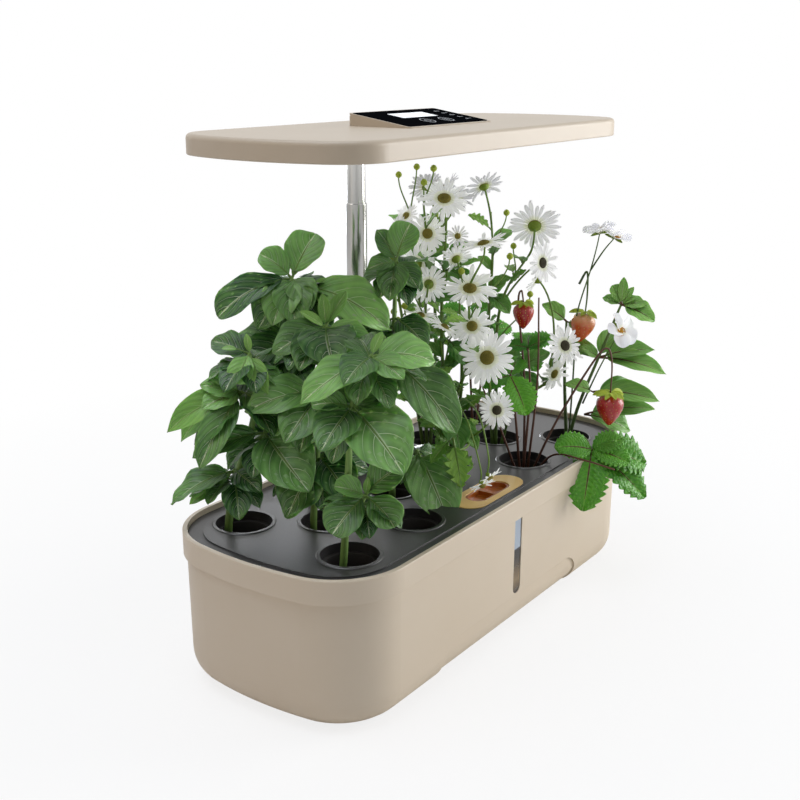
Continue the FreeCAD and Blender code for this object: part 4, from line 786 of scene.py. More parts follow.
class MeshParts:
    """Collects the parts of one piece in millimetres and makes its object."""

    def __init__(self, name: str, *finishes: Finish) -> None:
        """Starts an empty piece.

        Args:
            name: the piece's name.
            finishes: its finishes; a part names one by its index.
        """
        self.name = name
        self.finishes = finishes
        self.points: list[np.ndarray] = []
        self.layout: list[np.ndarray] = []
        self.tones: list[np.ndarray] = []
        self.faces: list[list[int]] = []
        self.slots: list[int] = []
        self.count = 0

    def add(self, points: np.ndarray, faces: Iterable[Sequence[int]], slot: int = 0,
            layout: Optional[np.ndarray] = None, tone: Union[float, np.ndarray] = 0.5) -> None:
        """Adds a part.

        Args:
            points: its points, one per row.
            faces: its faces as indexes of its own points.
            slot: the index of its finish.
            layout: its UV coordinates, one row per point.
            tone: its tone from 0 to 1, for all points or for each.
        """
        number = len(points)
        self.points.append(np.asarray(points, float))
        self.layout.append(np.zeros((number, 2)) if layout is None else layout)
        self.tones.append(np.broadcast_to(np.asarray(tone, float), (number,)))
        before = len(self.faces)
        self.faces.extend([self.count + int(i) for i in face] for face in faces)
        self.slots.extend([slot] * (len(self.faces) - before))
        self.count += number

    def tube(self, path: np.ndarray, radius: Union[float, Sequence[float]], sides: int = 8, slot: int = 0,
             tone: Union[float, Sequence[float]] = 0.5, flute: float = 0.0) -> None:
        """Adds a closed tube along a path.

        Args:
            path: the points of its centre line.
            radius: its radius, or several from its foot to its end.
            sides: how many sides it has.
            slot: the index of its finish.
            tone: its tone, or several from its foot to its end.
            flute: how far its four corners stand out, as a share of the radius.
        """
        share = np.linspace(0.0, 1.0, len(path))
        radii, tones = (np.interp(share, np.linspace(0.0, 1.0, len(given)), given)
                        for given in map(np.atleast_1d, (radius, tone)))
        tangents = np.gradient(path, axis=0)
        side = unit(np.cross(tangents[0], ASKEW))
        turn = circle_angles(sides)
        rim = 1 + flute * np.cos(4 * turn)
        rings = []
        for point, tangent, size in zip(path, tangents, radii):
            along = unit(tangent)
            side = unit(side - along * float(np.dot(side, along)))
            other = np.cross(along, side)
            circle = np.cos(turn)[:, None] * side + np.sin(turn)[:, None] * other
            rings.append(point + circle * (rim * size)[:, None])
        points = np.concatenate(rings)
        u, v = np.meshgrid(share, turn / (2 * math.pi), indexing="ij")
        layout = np.stack((u.ravel(), v.ravel()), -1)
        self.add(points, capped_faces(len(path), sides), slot, layout, np.repeat(tones, sides))

    def revolve(self, centre: np.ndarray, axis: np.ndarray, profile: Sequence[tuple[float, float]],
                sides: int, slot: int = 0, tone: float = 0.5, lobes: int = 0, lobe: float = 0.0) -> None:
        """Adds a closed turned form.

        Args:
            centre: the point that heights are measured from.
            axis: direction of the heights.
            profile: radius and height of each ring, from one pole to the other.
            sides: how many sides it has.
            slot: the index of its finish.
            tone: its tone.
            lobes: how many lobes its rim has.
            lobe: how far they stand out, as a share of the radius.
        """
        along = unit(np.asarray(axis, float))
        side, other = sideways(along)
        turn = circle_angles(sides)
        circle = np.cos(turn)[:, None] * side + np.sin(turn)[:, None] * other
        rim = (1 + lobe * np.cos(lobes * turn))[:, None]
        rings = [centre + circle * rim * radius + along * height for radius, height in profile]
        share = np.linspace(0.0, 1.0, len(profile))
        u, v = np.meshgrid(share, turn / (2 * math.pi), indexing="ij")
        self.add(np.concatenate(rings), capped_faces(len(profile), sides), slot,
                 np.stack((u.ravel(), v.ravel()), -1), tone)

    def bead(self, centre: np.ndarray, size: Union[float, Triple], slot: int = 0, tone: float = 0.5,
             turn: Optional[np.ndarray] = None) -> None:
        """Adds a small faceted grain.

        Args:
            centre: its middle.
            size: its half sizes.
            slot: the index of its finish.
            tone: its tone.
            turn: rotation that its half sizes follow.
        """
        half = np.broadcast_to(np.asarray(size, float), (3,))
        corners = np.array(((1, 0, 0), (0, 1, 0), (-1, 0, 0), (0, -1, 0), (0, 0, 1), (0, 0, -1))) * half
        if turn is not None:
            corners = corners @ turn.T
        faces = ((0, 1, 4), (1, 2, 4), (2, 3, 4), (3, 0, 4), (1, 0, 5), (2, 1, 5), (3, 2, 5), (0, 3, 5))
        self.add(corners + centre, faces, slot, None, tone)

    def blade(self, upper: np.ndarray, lower: np.ndarray, layout: np.ndarray, skins: tuple[int, int],
              tone: Union[float, np.ndarray], flip: bool = False) -> None:
        """Adds a thin closed blade, whose two skins share their edge.

        Args:
            upper: its upper skin's points by row and column.
            lower: its underside's points in the same order.
            layout: the UV coordinates of a skin's points.
            skins: the finishes of upper skin and underside.
            tone: its tone, for all points or for each of a skin.
            flip: whether its faces turn the other way.
        """
        rows, columns = upper.shape[:2]
        inner = np.zeros((rows, columns), bool)
        inner[1:-1, 1:-1] = True
        below = np.arange(rows * columns).reshape(rows, columns)
        below[inner] = rows * columns + np.arange(int(inner.sum()))
        faces = grid_faces(rows, columns, False, flip)
        tones = np.broadcast_to(tone, (rows * columns,))
        under = len(self.slots) + len(faces)
        points = np.vstack((upper.reshape(-1, 3), lower[inner]))
        inside = inner.ravel()
        self.add(points, np.vstack((faces, below.ravel()[faces[:, ::-1]])), skins[0],
                 np.vstack((layout, layout[inside])), np.concatenate((tones, tones[inside])))
        self.slots[under:] = [skins[1]] * len(faces)

    def absorb(self, other: "MeshParts", turn: np.ndarray, place: np.ndarray) -> None:
        """Adds all that another piece holds, turned and moved.

        Args:
            other: the other piece.
            turn: its rotation.
            place: where its origin comes to lie.
        """
        self.faces.extend([self.count + index for index in face] for face in other.faces)
        self.points.extend(points @ turn.T + place for points in other.points)
        self.layout.extend(other.layout)
        self.tones.extend(other.tones)
        self.slots.extend(other.slots)
        self.count += other.count

    def build(self, body: Body, material_slot: Slot) -> bpy.types.Object:
        """Makes the object and lets it ride.

        Args:
            body: the body that it moves with.
            material_slot: not used.

        Returns:
            The object.
        """
        mesh = bpy.data.meshes.new(self.name)
        points = np.concatenate(self.points) * MM
        mesh.from_pydata(points.tolist(), [], self.faces)
        for finish in self.finishes:
            mesh.materials.append(PAINT.material(finish))
        mesh.polygons.foreach_set("material_index", self.slots)
        mesh.polygons.foreach_set("use_smooth", [True] * len(self.faces))
        layer = mesh.uv_layers.new(name="UVMap")
        corner = np.empty(len(mesh.loops), np.int32)
        mesh.loops.foreach_get("vertex_index", corner)
        layer.data.foreach_set("uv", np.concatenate(self.layout)[corner].astype(np.float32).ravel())
        tone = mesh.attributes.new("tone", "FLOAT", "POINT")
        tone.data.foreach_set("value", np.concatenate(self.tones).astype(np.float32))
        mesh.validate()
        mesh.update()
        made = bpy.data.objects.new(self.name, mesh)
        bpy.context.scene.collection.objects.link(made)
        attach(made, body.value)
        return made


@dataclass(frozen=True)
class LeafForm:
    """Form of a kind of leaf, in shares of its own length or width, and degrees."""

    width: float = 0.78
    foot_power: float = 0.6
    tip_power: float = 0.84
    fold: float = 14.0
    cup: float = 0.06
    ripple: float = 0.03
    ripples: float = 2.5
    veins: int = 5
    rise: float = 0.5
    puff: float = 0.08
    teeth: int = 0
    tooth: float = 0.0
    petiole: float = 0.12
    stalk: float = 1.0
    rows: int = 20
    columns: int = 13

    def half_width(self, u: np.ndarray) -> np.ndarray:
        """Gives the outline.

        Args:
            u: places from foot to tip, 0 to 1.

        Returns:
            The half width there, where 1 is the widest.
        """
        peak = self.foot_power / (self.foot_power + self.tip_power)
        top = peak ** self.foot_power * (1 - peak) ** self.tip_power
        return u ** self.foot_power * (1 - u) ** self.tip_power / top


# Steps in which a leaf's bend is summed up
CHORD_STEPS = 64
# Foot and tip stay this share of the length away from a point, and this share of the width open
POINT_GAP = 0.003
LEAST_WIDTH = 0.02
# Groove over the midrib, in shares of the width, and shift of the other side's ripples, in radians
GROOVE_DEPTH = 0.035
GROOVE_WIDTH = 0.07
RIPPLE_SHIFT = 1.9
# Blade's thickness in millimetres, and how much paler its tip is than its foot
BLADE_THICKNESS = 0.45
TONE_CHANGE = 0.12
# How far the rib runs along the blade, and the half width from which it has its full size
RIB_SHARE = 0.8
FULL_RIB_WIDTH = 9.0
# Outlines of the leaves: basil's are ovate, some blunt, some narrow; the strawberry's are toothed
OVATE = LeafForm()
BLUNT = LeafForm(width=0.9, foot_power=0.75, tip_power=0.5, fold=10.0, cup=0.12)
NARROW = LeafForm(width=0.6, foot_power=0.7, tip_power=0.85, fold=16.0, ripple=0.02)
POINTED = LeafForm(width=0.46, foot_power=0.75, tip_power=1.05, fold=18.0, cup=0.04, ripple=0.012, puff=0.02)
CUPPED = LeafForm(width=0.8, foot_power=0.65, tip_power=0.5, fold=6.0, cup=0.45, ripple=0.02)
SPRIG = LeafForm(width=0.45, foot_power=0.7, tip_power=0.8, fold=12.0, ripple=0.0, rows=10, columns=7)
TOOTHED = LeafForm(width=0.86, foot_power=0.62, tip_power=0.62, fold=10.0, cup=0.03, ripple=0.015, veins=9,
                   rise=0.34, puff=0.14, teeth=9, tooth=0.3, petiole=0.04, rows=64, columns=17)
ROUND_PETAL = replace(CUPPED, width=0.95, cup=0.25, veins=3, puff=0.0, petiole=0.03, rows=12, columns=9)
FEATHER = LeafForm(width=0.6, foot_power=0.6, tip_power=0.8, fold=14.0, cup=0.04, ripple=0.02, veins=5,
                   rise=0.4, puff=0.02, teeth=5, tooth=0.6, petiole=0.2, rows=50, columns=11)


@dataclass(frozen=True)
class Leaf:
    """One leaf: its reach from node to tip as the photograph shows it, and how it hangs."""

    reach: Triple
    bend: float = 40.0
    form: LeafForm = OVATE
    # How pale the leaf is drawn: high tones paint the light on lit leaves, low ones the shade on shaded
    # leaves
    tone: float = 0.35
    roll: float = 0.0
    width: Optional[float] = None
    sweep: float = 0.0
    face: Triple = (0.0, 0.55, 0.8)


def add_leaf(parts: MeshParts, node: np.ndarray, reach: np.ndarray, leaf: Leaf, slots: tuple[int, int, int],
             phase: float = 0.0, face: Optional[np.ndarray] = None) -> None:
    """Adds a leaf: a thin closed blade with its stalk and the rib below it.

    Args:
        parts: the piece that it joins.
        node: where its stalk leaves the stem.
        reach: the offset from the node to its tip.
        leaf: its form and how it hangs.
        slots: finishes of its upper skin, underside and stalk.
        phase: shifts its ripples, in turns.
        face: where its upper skin looks, if the leaf's own face isn't used.
    """
    form = leaf.form
    chord = float(np.linalg.norm(reach))
    half_bend = math.radians(leaf.bend) / 2
    length = chord * half_bend / math.sin(half_bend)
    blade_length = length * (1 - form.petiole)
    width = blade_length * (leaf.width or form.width) / 2
    ahead = reach / chord
    looks = seen(*leaf.face) if face is None else face
    out = unit(looks - ahead * float(np.dot(looks, ahead)))
    side = np.cross(out, ahead)

    def line(places: np.ndarray) -> tuple[np.ndarray, np.ndarray, np.ndarray]:
        """Gives centre, side and normal at shares of the whole length."""
        fine = np.linspace(0.0, 1.0, CHORD_STEPS + 1)[:, None]
        lift = half_bend * (1 - 2 * fine)
        swing = math.radians(leaf.sweep) * (fine - 0.5)
        turned = ahead * np.cos(swing) + side * np.sin(swing)
        along = turned * np.cos(lift) + out * np.sin(lift)
        normal = out * np.cos(lift) - turned * np.sin(lift)
        level = side * np.cos(swing) - ahead * np.sin(swing)
        steps = (along[1:] + along[:-1]) / 2 * length / CHORD_STEPS
        track = np.vstack((np.zeros(3), np.cumsum(steps, axis=0)))
        spin = math.radians(leaf.roll) * fine
        rows = (track, level * np.cos(spin) + normal * np.sin(spin),
                normal * np.cos(spin) - level * np.sin(spin))
        return tuple(np.stack([np.interp(places, fine[:, 0], row[:, k]) for k in range(3)], -1)
                     for row in rows)

    t = np.linspace(0.0, 1.0, form.rows)
    # Rows stand closer near foot and tip, but evenly where teeth need them
    even = t if form.teeth else (1 - np.cos(math.pi * t)) / 2
    u = POINT_GAP + (1 - 2 * POINT_GAP) * even
    v = np.sin(np.linspace(-1.0, 1.0, form.columns) * math.pi / 2)
    uu, vv = np.meshgrid(u, v, indexing="ij")
    edge = np.abs(vv)
    outline = np.maximum(form.half_width(uu), LEAST_WIDTH)
    if form.teeth:
        tooth_phase = (uu - form.rise * 0.3 * edge) * form.teeth
        saw = tooth_phase - np.floor(tooth_phase)
        outline = outline * (1 - form.tooth * edge ** 2 * saw ** 1.5)
    half = outline * width
    fold = math.radians(form.fold)
    vein_phase = (uu - form.rise * edge ** VEIN_CURVE) * form.veins
    swell = form.puff * width * np.abs(np.sin(math.pi * vein_phase)) ** 0.7 * np.sin(math.pi * edge ** 0.8)
    groove = -GROOVE_DEPTH * width * np.exp(-(vv / GROOVE_WIDTH) ** 2)
    wave = form.ripple * blade_length * edge ** 3 * np.sin(
        2 * math.pi * (form.ripples * uu + phase) + np.where(vv > 0, 0.0, RIPPLE_SHIFT))
    lift = half * edge * math.sin(fold) + form.cup * width * outline * edge ** 2 + swell + groove + wave
    centre, level, normal = line(form.petiole + (1 - form.petiole) * u)
    base = node + centre[:, None, :] + level[:, None, :] * (half * vv * math.cos(fold))[..., None]
    upper = base + normal[:, None, :] * lift[..., None]
    thickness = BLADE_THICKNESS * (1 - edge ** 6) * np.sqrt(np.maximum(outline, LEAST_WIDTH))
    lower = upper - normal[:, None, :] * thickness[..., None]
    layout = np.stack((uu.ravel(), (vv.ravel() + 1) / 2), -1)
    tone = np.clip(leaf.tone + TONE_CHANGE * (layout[:, 0] - 0.5), 0, 1)
    parts.blade(upper, lower, layout, slots[:2], tone)

    places = np.linspace(0.0, form.petiole + (1 - form.petiole) * RIB_SHARE, 12)
    rib_centre, _, rib_normal = line(places)
    drop = np.where(places > form.petiole, 0.55, 0.15)[:, None]
    size = form.stalk * min(1.0, width / FULL_RIB_WIDTH)
    parts.tube(node + rib_centre - rib_normal * drop, (size, size * 0.8, size * 0.3), 6, slots[2], leaf.tone)


@dataclass(frozen=True)
class Whorl:
    """The leaves at one node, which lies right, up and near of the pod's middle at the deck."""

    place: Triple
    leaves: tuple[Leaf, ...]
    length: float = 38.0


@dataclass
class Plant:
    """What every plant has: its pod, its kind and its place."""

    pod: str
    kind: ClassVar[str] = ""

    @property
    def node(self) -> str:
        """The frame node that the plant replaces."""
        return f"{self.kind}_{self.pod}"

    def random(self) -> np.random.Generator:
        """Gives the plant's own seeded source of small differences."""
        return np.random.default_rng(SEED + sum(map(ord, self.pod)))

    def foot(self) -> np.ndarray:
        """Gives the middle of the sponge's top in millimetres."""
        return pod_middle(self.pod) + STRAIGHT_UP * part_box("grow_sponges")[1].z / MM

    def at(self, right: float, height: float, near: float = 0.0) -> np.ndarray:
        """Gives a place over the pod.

        Args:
            right: millimetres to the right, as the photograph shows it.
            height: millimetres above the deck.
            near: level millimetres towards the viewer.

        Returns:
            The place in millimetres.
        """
        foot = self.foot()
        foot[2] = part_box("deck_plate")[1].z / MM - POD_LIP + height
        return foot + right * RIGHT + near * NEAR_LEVEL

    def finish(self, parts: MeshParts, material_slot: Slot) -> None:
        """Builds a piece of the plant, which replaces its node.

        Args:
            parts: the piece's parts.
            material_slot: passed on to the piece's build, which doesn't use it.
        """
        made = parts.build(Body.DECK, material_slot)
        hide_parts(self.node)
        float(self.foot()[2] * MM)
        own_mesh(made)
        LOG.info("%s: %d faces", parts.name, len(parts.faces))


@dataclass
class BasilPlant(Plant):
    """Basil: a square ribbed stem with crossed pairs of blistered leaves."""

    kind: ClassVar[str] = "basil"
    stem: tuple[Triple, ...]
    whorls: tuple[Whorl, ...]
    stem_radius: float = 2.3
    foot_right: float = 0.0
    growth: float = 1.1
    branch_gap: float = 1.5
    branch_drop: float = 14.0
    around: int = 7

    def build(self) -> None:
        """Builds the stems and the leaves."""
        rng = self.random()
        stems = MeshParts(self.node + "_stem", BASIL_STALK)
        leaves = MeshParts(self.node + "_leaves", BASIL_UPPER, BASIL_UNDER, BASIL_STALK, YOUNG_UPPER)
        start = self.foot() + self.foot_right * RIGHT - STRAIGHT_UP * ROOTING
        path = smooth_path([start] + [self.at(*p) for p in self.stem], 8)
        stems.tube(path, (self.stem_radius, self.stem_radius * 0.85, self.stem_radius * 0.5), 12, 0,
                   (0.2, 0.6, 0.9), 0.12)
        for whorl in self.whorls:
            node = self.at(*whorl.place)
            if np.linalg.norm(path - node, axis=1).min() > self.branch_gap:
                joint = path[np.argmin(np.linalg.norm(path - node + (0, 0, self.branch_drop), axis=1))]
                bow = (joint + node) / 2 + (node - joint) * (0.25, 0.25, -0.2)
                stems.tube(curve_through(joint, bow, node, 8), (1.4, 1.2), 8, 0, 0.7, 0.1)
            stems.bead(node, 2.0, 0, 0.8)
            for leaf in whorl.leaves:
                self.add(leaves, node, leaf, rng)
            self.fill_round(leaves, node, whorl, rng)
        self.finish(stems, Slot.BASIL)
        self.finish(leaves, Slot.BASIL)

    def fill_round(self, leaves: MeshParts, node: np.ndarray, whorl: Whorl,
                   rng: np.random.Generator) -> None:
        """Adds the shaded leaves under and behind a whorl, which hang lower towards the viewer and get low
        tones as painted shade.

        Args:
            leaves: the piece that they join.
            node: the whorl's node.
            whorl: the whorl.
            rng: seeded source of their places.
        """
        for index in range(self.around):
            azimuth = VIEW_HEADING + index * 360 / self.around + rng.uniform(-22, 22)
            towards = (1 - math.cos(math.radians(azimuth - VIEW_HEADING))) / 2
            rise = rng.uniform(-12, 14) - 42 * towards
            size = whorl.length * rng.uniform(0.85, 1.15) * (1 - 0.15 * towards)
            outward = facing(azimuth, 0)
            # Their low tones paint the shade under and behind the whorl
            filler = Leaf((0, 0, 0), rng.uniform(35, 65), OVATE, rng.uniform(0.0, 0.3), rng.uniform(-14, 14))
            start = node + (0, 0, -rng.uniform(4, 11))
            face = outward * 0.5 + np.array((0.0, 0.0, 0.85))
            add_leaf(leaves, start, facing(azimuth, rise) * size, filler, (0, 1, 2), rng.uniform(), face)

    def add(self, leaves: MeshParts, node: np.ndarray, leaf: Leaf, rng: np.random.Generator) -> None:
        """Adds one leaf of a whorl.

        Args:
            leaves: the piece that it joins.
            node: its node.
            leaf: the leaf.
            rng: seeded source of its small differences.
        """
        upper = 3 if leaf.form in (POINTED, SPRIG) else 0
        shaped = replace(leaf, sweep=leaf.sweep or rng.uniform(-14, 14), roll=leaf.roll + rng.uniform(-8, 8))
        add_leaf(leaves, node, self.growth * seen(*leaf.reach), shaped, (upper, 1, 2), rng.uniform())


# A daisy's ray: half width and notch as shares of its length, thickness in millimetres
PETAL_HALF_WIDTH = 0.088
PETAL_NOTCH = 0.05
PETAL_THICKNESS = 0.28


@dataclass(frozen=True)
class Flower:
    """A daisy: its place over its pod, which way it faces, its radius and its shade."""

    place: Triple
    azimuth: float
    rise: float
    radius: float = 15.0
    shade: float = 0.05
    dark: bool = False
    petals: int = 24
    way: tuple[Triple, ...] = ()


@dataclass
class DaisyPlant(Plant):
    """Daisies: a fan of thin stems with ray flowers, buds and cut leaves."""

    kind: ClassVar[str] = "daisy"
    mains: tuple[tuple[Triple, ...], ...]
    flowers: tuple[Flower, ...]
    buds: tuple[Triple, ...]
    whorls: tuple[Whorl, ...]
    disc_share: float = 0.27
    sprig_start: float = 34.0
    sprig_step: float = 11.0
    sprig_end: float = 8.0
    feather_share: float = 0.55
    florets: int = 70
    paths: list[np.ndarray] = field(default_factory=list)

    def build(self) -> None:
        """Builds stems, leaves, petals, discs and calyces."""
        rng = self.random()
        stems = MeshParts(self.node + "_stems", DAISY_STALK, CALYX, BUD_SKIN)
        petals = MeshParts(self.node + "_petals", DAISY_PETAL)
        discs = MeshParts(self.node + "_discs", OLIVE_DISC, DARK_DISC)
        leaves = MeshParts(self.node + "_leaves", FEATHER_UPPER, BASIL_UNDER, DAISY_STALK, YOUNG_UPPER)
        self.grow_mains(stems, leaves, rng)
        for flower in self.flowers:
            self.add_flower(flower, stems, petals, discs, rng)
        for bud in self.buds:
            head = self.at(*bud)
            self.add_stem(stems, head, STRAIGHT_UP, 0.5)
            profile = ((0.4, -1.0), (2.2, 0.4), (2.6, 2.0), (1.6, 3.8), (0.3, 4.4))
            stems.revolve(head, (0.2, 0.1, 1.0), profile, 10, 2)
        for whorl in self.whorls:
            node = self.at(*whorl.place)
            self.add_stem(stems, node, STRAIGHT_UP, 0.7)
            for leaf in whorl.leaves:
                upper = 0 if leaf.form is FEATHER else 3
                add_leaf(leaves, node, seen(*leaf.reach), leaf, (upper, 1, 2), rng.uniform())
        self.finish(stems, Slot.BASIL)
        self.finish(petals, Slot.PETAL)
        self.finish(discs, Slot.PETAL)
        self.finish(leaves, Slot.BASIL)

    def grow_mains(self, stems: MeshParts, leaves: MeshParts, rng: np.random.Generator) -> None:
        """Adds the main stems with the small leaves along them.

        Args:
            stems: the piece that takes the stems.
            leaves: the piece that takes the leaves.
            rng: seeded source of the leaves' places.
        """
        for way in self.mains:
            points = [self.at(*place) for place in way]
            points[0][2] = self.foot()[2] - ROOTING
            path = smooth_path(points, 10)
            stems.tube(path, (1.5, 1.2, 0.7), 9, 0, (0.1, 0.6, 0.95), 0.1)
            self.paths.append(path)
            run = np.concatenate(((0.0,), np.cumsum(np.linalg.norm(np.diff(path, axis=0), axis=1))))
            reaches = np.arange(self.sprig_start, run[-1] - self.sprig_end, self.sprig_step)
            for number, reach in enumerate(reaches):
                node = np.array([np.interp(reach, run, path[:, k]) for k in range(3)])
                azimuth = number * SPRIG_TURN + rng.uniform(-25, 25)
                outward = facing(azimuth, rng.uniform(5, 45))
                size = rng.uniform(15, 27)
                form = FEATHER if rng.uniform() < self.feather_share else NARROW
                sprig = Leaf((0, 0, 0), rng.uniform(20, 60), form, rng.uniform(0.1, 0.75),
                             rng.uniform(-20, 20))
                slot = 0 if form is FEATHER else 3
                face = outward * 0.4 + np.array((0.0, 0.0, 0.7)) + NEAR * 0.5
                add_leaf(leaves, node, outward * size, sprig, (slot, 1, 2), rng.uniform(), face)

    def add_stem(self, stems: MeshParts, head: np.ndarray, along: np.ndarray, radius: float) -> None:
        """Adds a side stem from the nearest main stem to a head.

        Args:
            stems: the piece that it joins.
            head: where it ends.
            along: the direction that it arrives in.
            radius: its radius at the top.
        """
        choices = []
        for path in self.paths:
            for index in range(4, len(path)):
                drop = head[2] - path[index][2]
                if drop > 12:
                    gap = math.hypot(*(head - path[index])[:2])
                    # The best fork lies close to the head and lower by some more than its distance
                    cost = gap + abs(drop - 22 - 0.8 * gap) * 0.6
                    choices.append((cost, path[index], path[index] - path[index - 1]))
        if choices:
            _, start, tangent = min(choices, key=lambda choice: choice[0])
        else:
            start, tangent = self.foot(), STRAIGHT_UP
        reach = float(np.linalg.norm(head - start))
        t = np.linspace(0.0, 1.0, 15)[:, None]
        leave, arrive = unit(tangent) * reach, (unit(along) + (0, 0, 0.4)) * reach * 0.7
        path = ((2 * t ** 3 - 3 * t ** 2 + 1) * start + (t ** 3 - 2 * t ** 2 + t) * leave
                + (3 * t ** 2 - 2 * t ** 3) * head + (t ** 3 - t ** 2) * arrive)
        stems.tube(path, (radius * 1.3, radius), 7, 0, (0.6, 0.95), 0.08)

    def add_flower(self, flower: Flower, stems: MeshParts, petals: MeshParts, discs: MeshParts,
                   rng: np.random.Generator) -> None:
        """Adds one flower with its stem and calyx.

        Args:
            flower: the flower.
            stems: the piece that takes stem and calyx.
            petals: the piece that takes the rays.
            discs: the piece that takes the disc.
            rng: seeded source of its small differences.
        """
        head = self.at(*flower.place)
        front = facing(flower.azimuth, flower.rise)
        disc = flower.radius * self.disc_share
        if flower.way:
            way = [self.at(*place) for place in flower.way] + [head - front * 3.0]
            stems.tube(smooth_path(way, 8), 0.6, 7, 0, (0.6, 0.95))
        else:
            self.add_stem(stems, head - front * 3.0, front, 0.7)
        side, other = sideways(front, ABOVE)
        calyx = ((0.6, -4.2), (disc * 0.55, -3.0), (disc * 0.95, -1.0), (disc * 0.9, 0.2))
        stems.revolve(head, front, calyx, 16, 1, 0.5, 8, 0.06)
        for index in range(flower.petals):
            angle = 2 * math.pi * (index + rng.uniform(-0.18, 0.18)) / flower.petals
            self.add_petal(petals, head, front, spoke(angle, side, other), disc * 0.75,
                           flower.radius * rng.uniform(0.94, 1.14), flower.shade, rng)
        cap = ((disc * 0.98, -0.4), (disc, 0.6), (disc * 0.8, 1.5), (disc * 0.4, 2.1), (0.1, 2.3))
        slot = 1 if flower.dark else 0
        discs.revolve(head, front, cap, 20, slot)
        for index in range(self.florets):
            spread = math.sqrt((index + 0.5) / self.florets)
            outward = spoke(index * math.radians(GOLDEN_TURN), side, other)
            place = head + outward * disc * 0.95 * spread + front * (2.3 - 1.7 * spread ** 2)
            discs.bead(place, disc * 0.105, slot)

    def add_petal(self, petals: MeshParts, head: np.ndarray, front: np.ndarray, outward: np.ndarray,
                  inner: float, outer: float, shade: float, rng: np.random.Generator) -> None:
        """Adds one ray: a thin closed blade with a notched tip.

        Args:
            petals: the piece that it joins.
            head: the flower's middle.
            front: the direction that the flower faces.
            outward: the ray's direction.
            inner: where it starts.
            outer: where it ends.
            shade: its tone.
            rng: seeded source of its small differences.
        """
        across = np.cross(front, outward)
        u = np.linspace(0.0, 1.0, 9)
        v = np.linspace(-1.0, 1.0, 7)
        uu, vv = np.meshgrid(u, v, indexing="ij")
        half = (outer * PETAL_HALF_WIDTH * np.sqrt(np.clip(uu * 1.6 + 0.06, 0, 1))
                * np.sqrt(np.clip((1.02 - uu) * 5, 0.1, 1)))
        notch = PETAL_NOTCH * (1 - np.cos(vv * 2.5 * math.pi)) / 2
        distance = inner + (outer - inner) * (uu - notch * np.clip(uu * 3 - 2, 0, 1))
        droop = rng.uniform(-0.16, 0.26)
        lift = outer * (0.06 * uu - droop * uu ** 2) + 0.25 * half * (vv ** 2 - 0.4)
        lift += 0.05 * half * np.cos(vv * 3 * math.pi)
        twist = rng.uniform(-0.25, 0.25)
        top = (head + distance[..., None] * outward + (half * vv)[..., None] * across
               + (lift + half * vv * twist)[..., None] * front)
        low = top - PETAL_THICKNESS * front * (1 - vv ** 4)[..., None]
        layout = np.stack((uu.ravel(), (vv.ravel() + 1) / 2), -1)
        tone = float(np.clip(shade + rng.uniform(-0.03, 0.06), 0, 1))
        petals.blade(top, low, layout, (0, 0), tone, True)


# A strawberry's seed in millimetres: half sizes across, along and out, depth of its dimple, squared spread
SEED_SIZE = (0.38, 0.62, 0.3)
SEED_SINK = 0.35
DIMPLE_DEPTH = 0.55
DIMPLE_SPREAD = 0.9


@dataclass(frozen=True)
class Fruit:
    """A hanging strawberry: the way of its stalk over the pod, its size and its ripeness."""

    way: tuple[Triple, ...]
    ripe: bool = True
    radius: float = 10.5
    length: float = 23.0
    lean: Triple = (0.0, 0.0, 0.0)


@dataclass(frozen=True)
class Trifoliate:
    """A strawberry leaf: the way of its stalk, and the reach of its leaflets from the stalk's end."""

    way: tuple[Triple, ...]
    leaflets: tuple[Leaf, ...]


@dataclass(frozen=True)
class Blossom:
    """A five-petalled strawberry flower: the way of its stalk and which way it faces."""

    way: tuple[Triple, ...]
    azimuth: float
    rise: float
    radius: float = 14.0


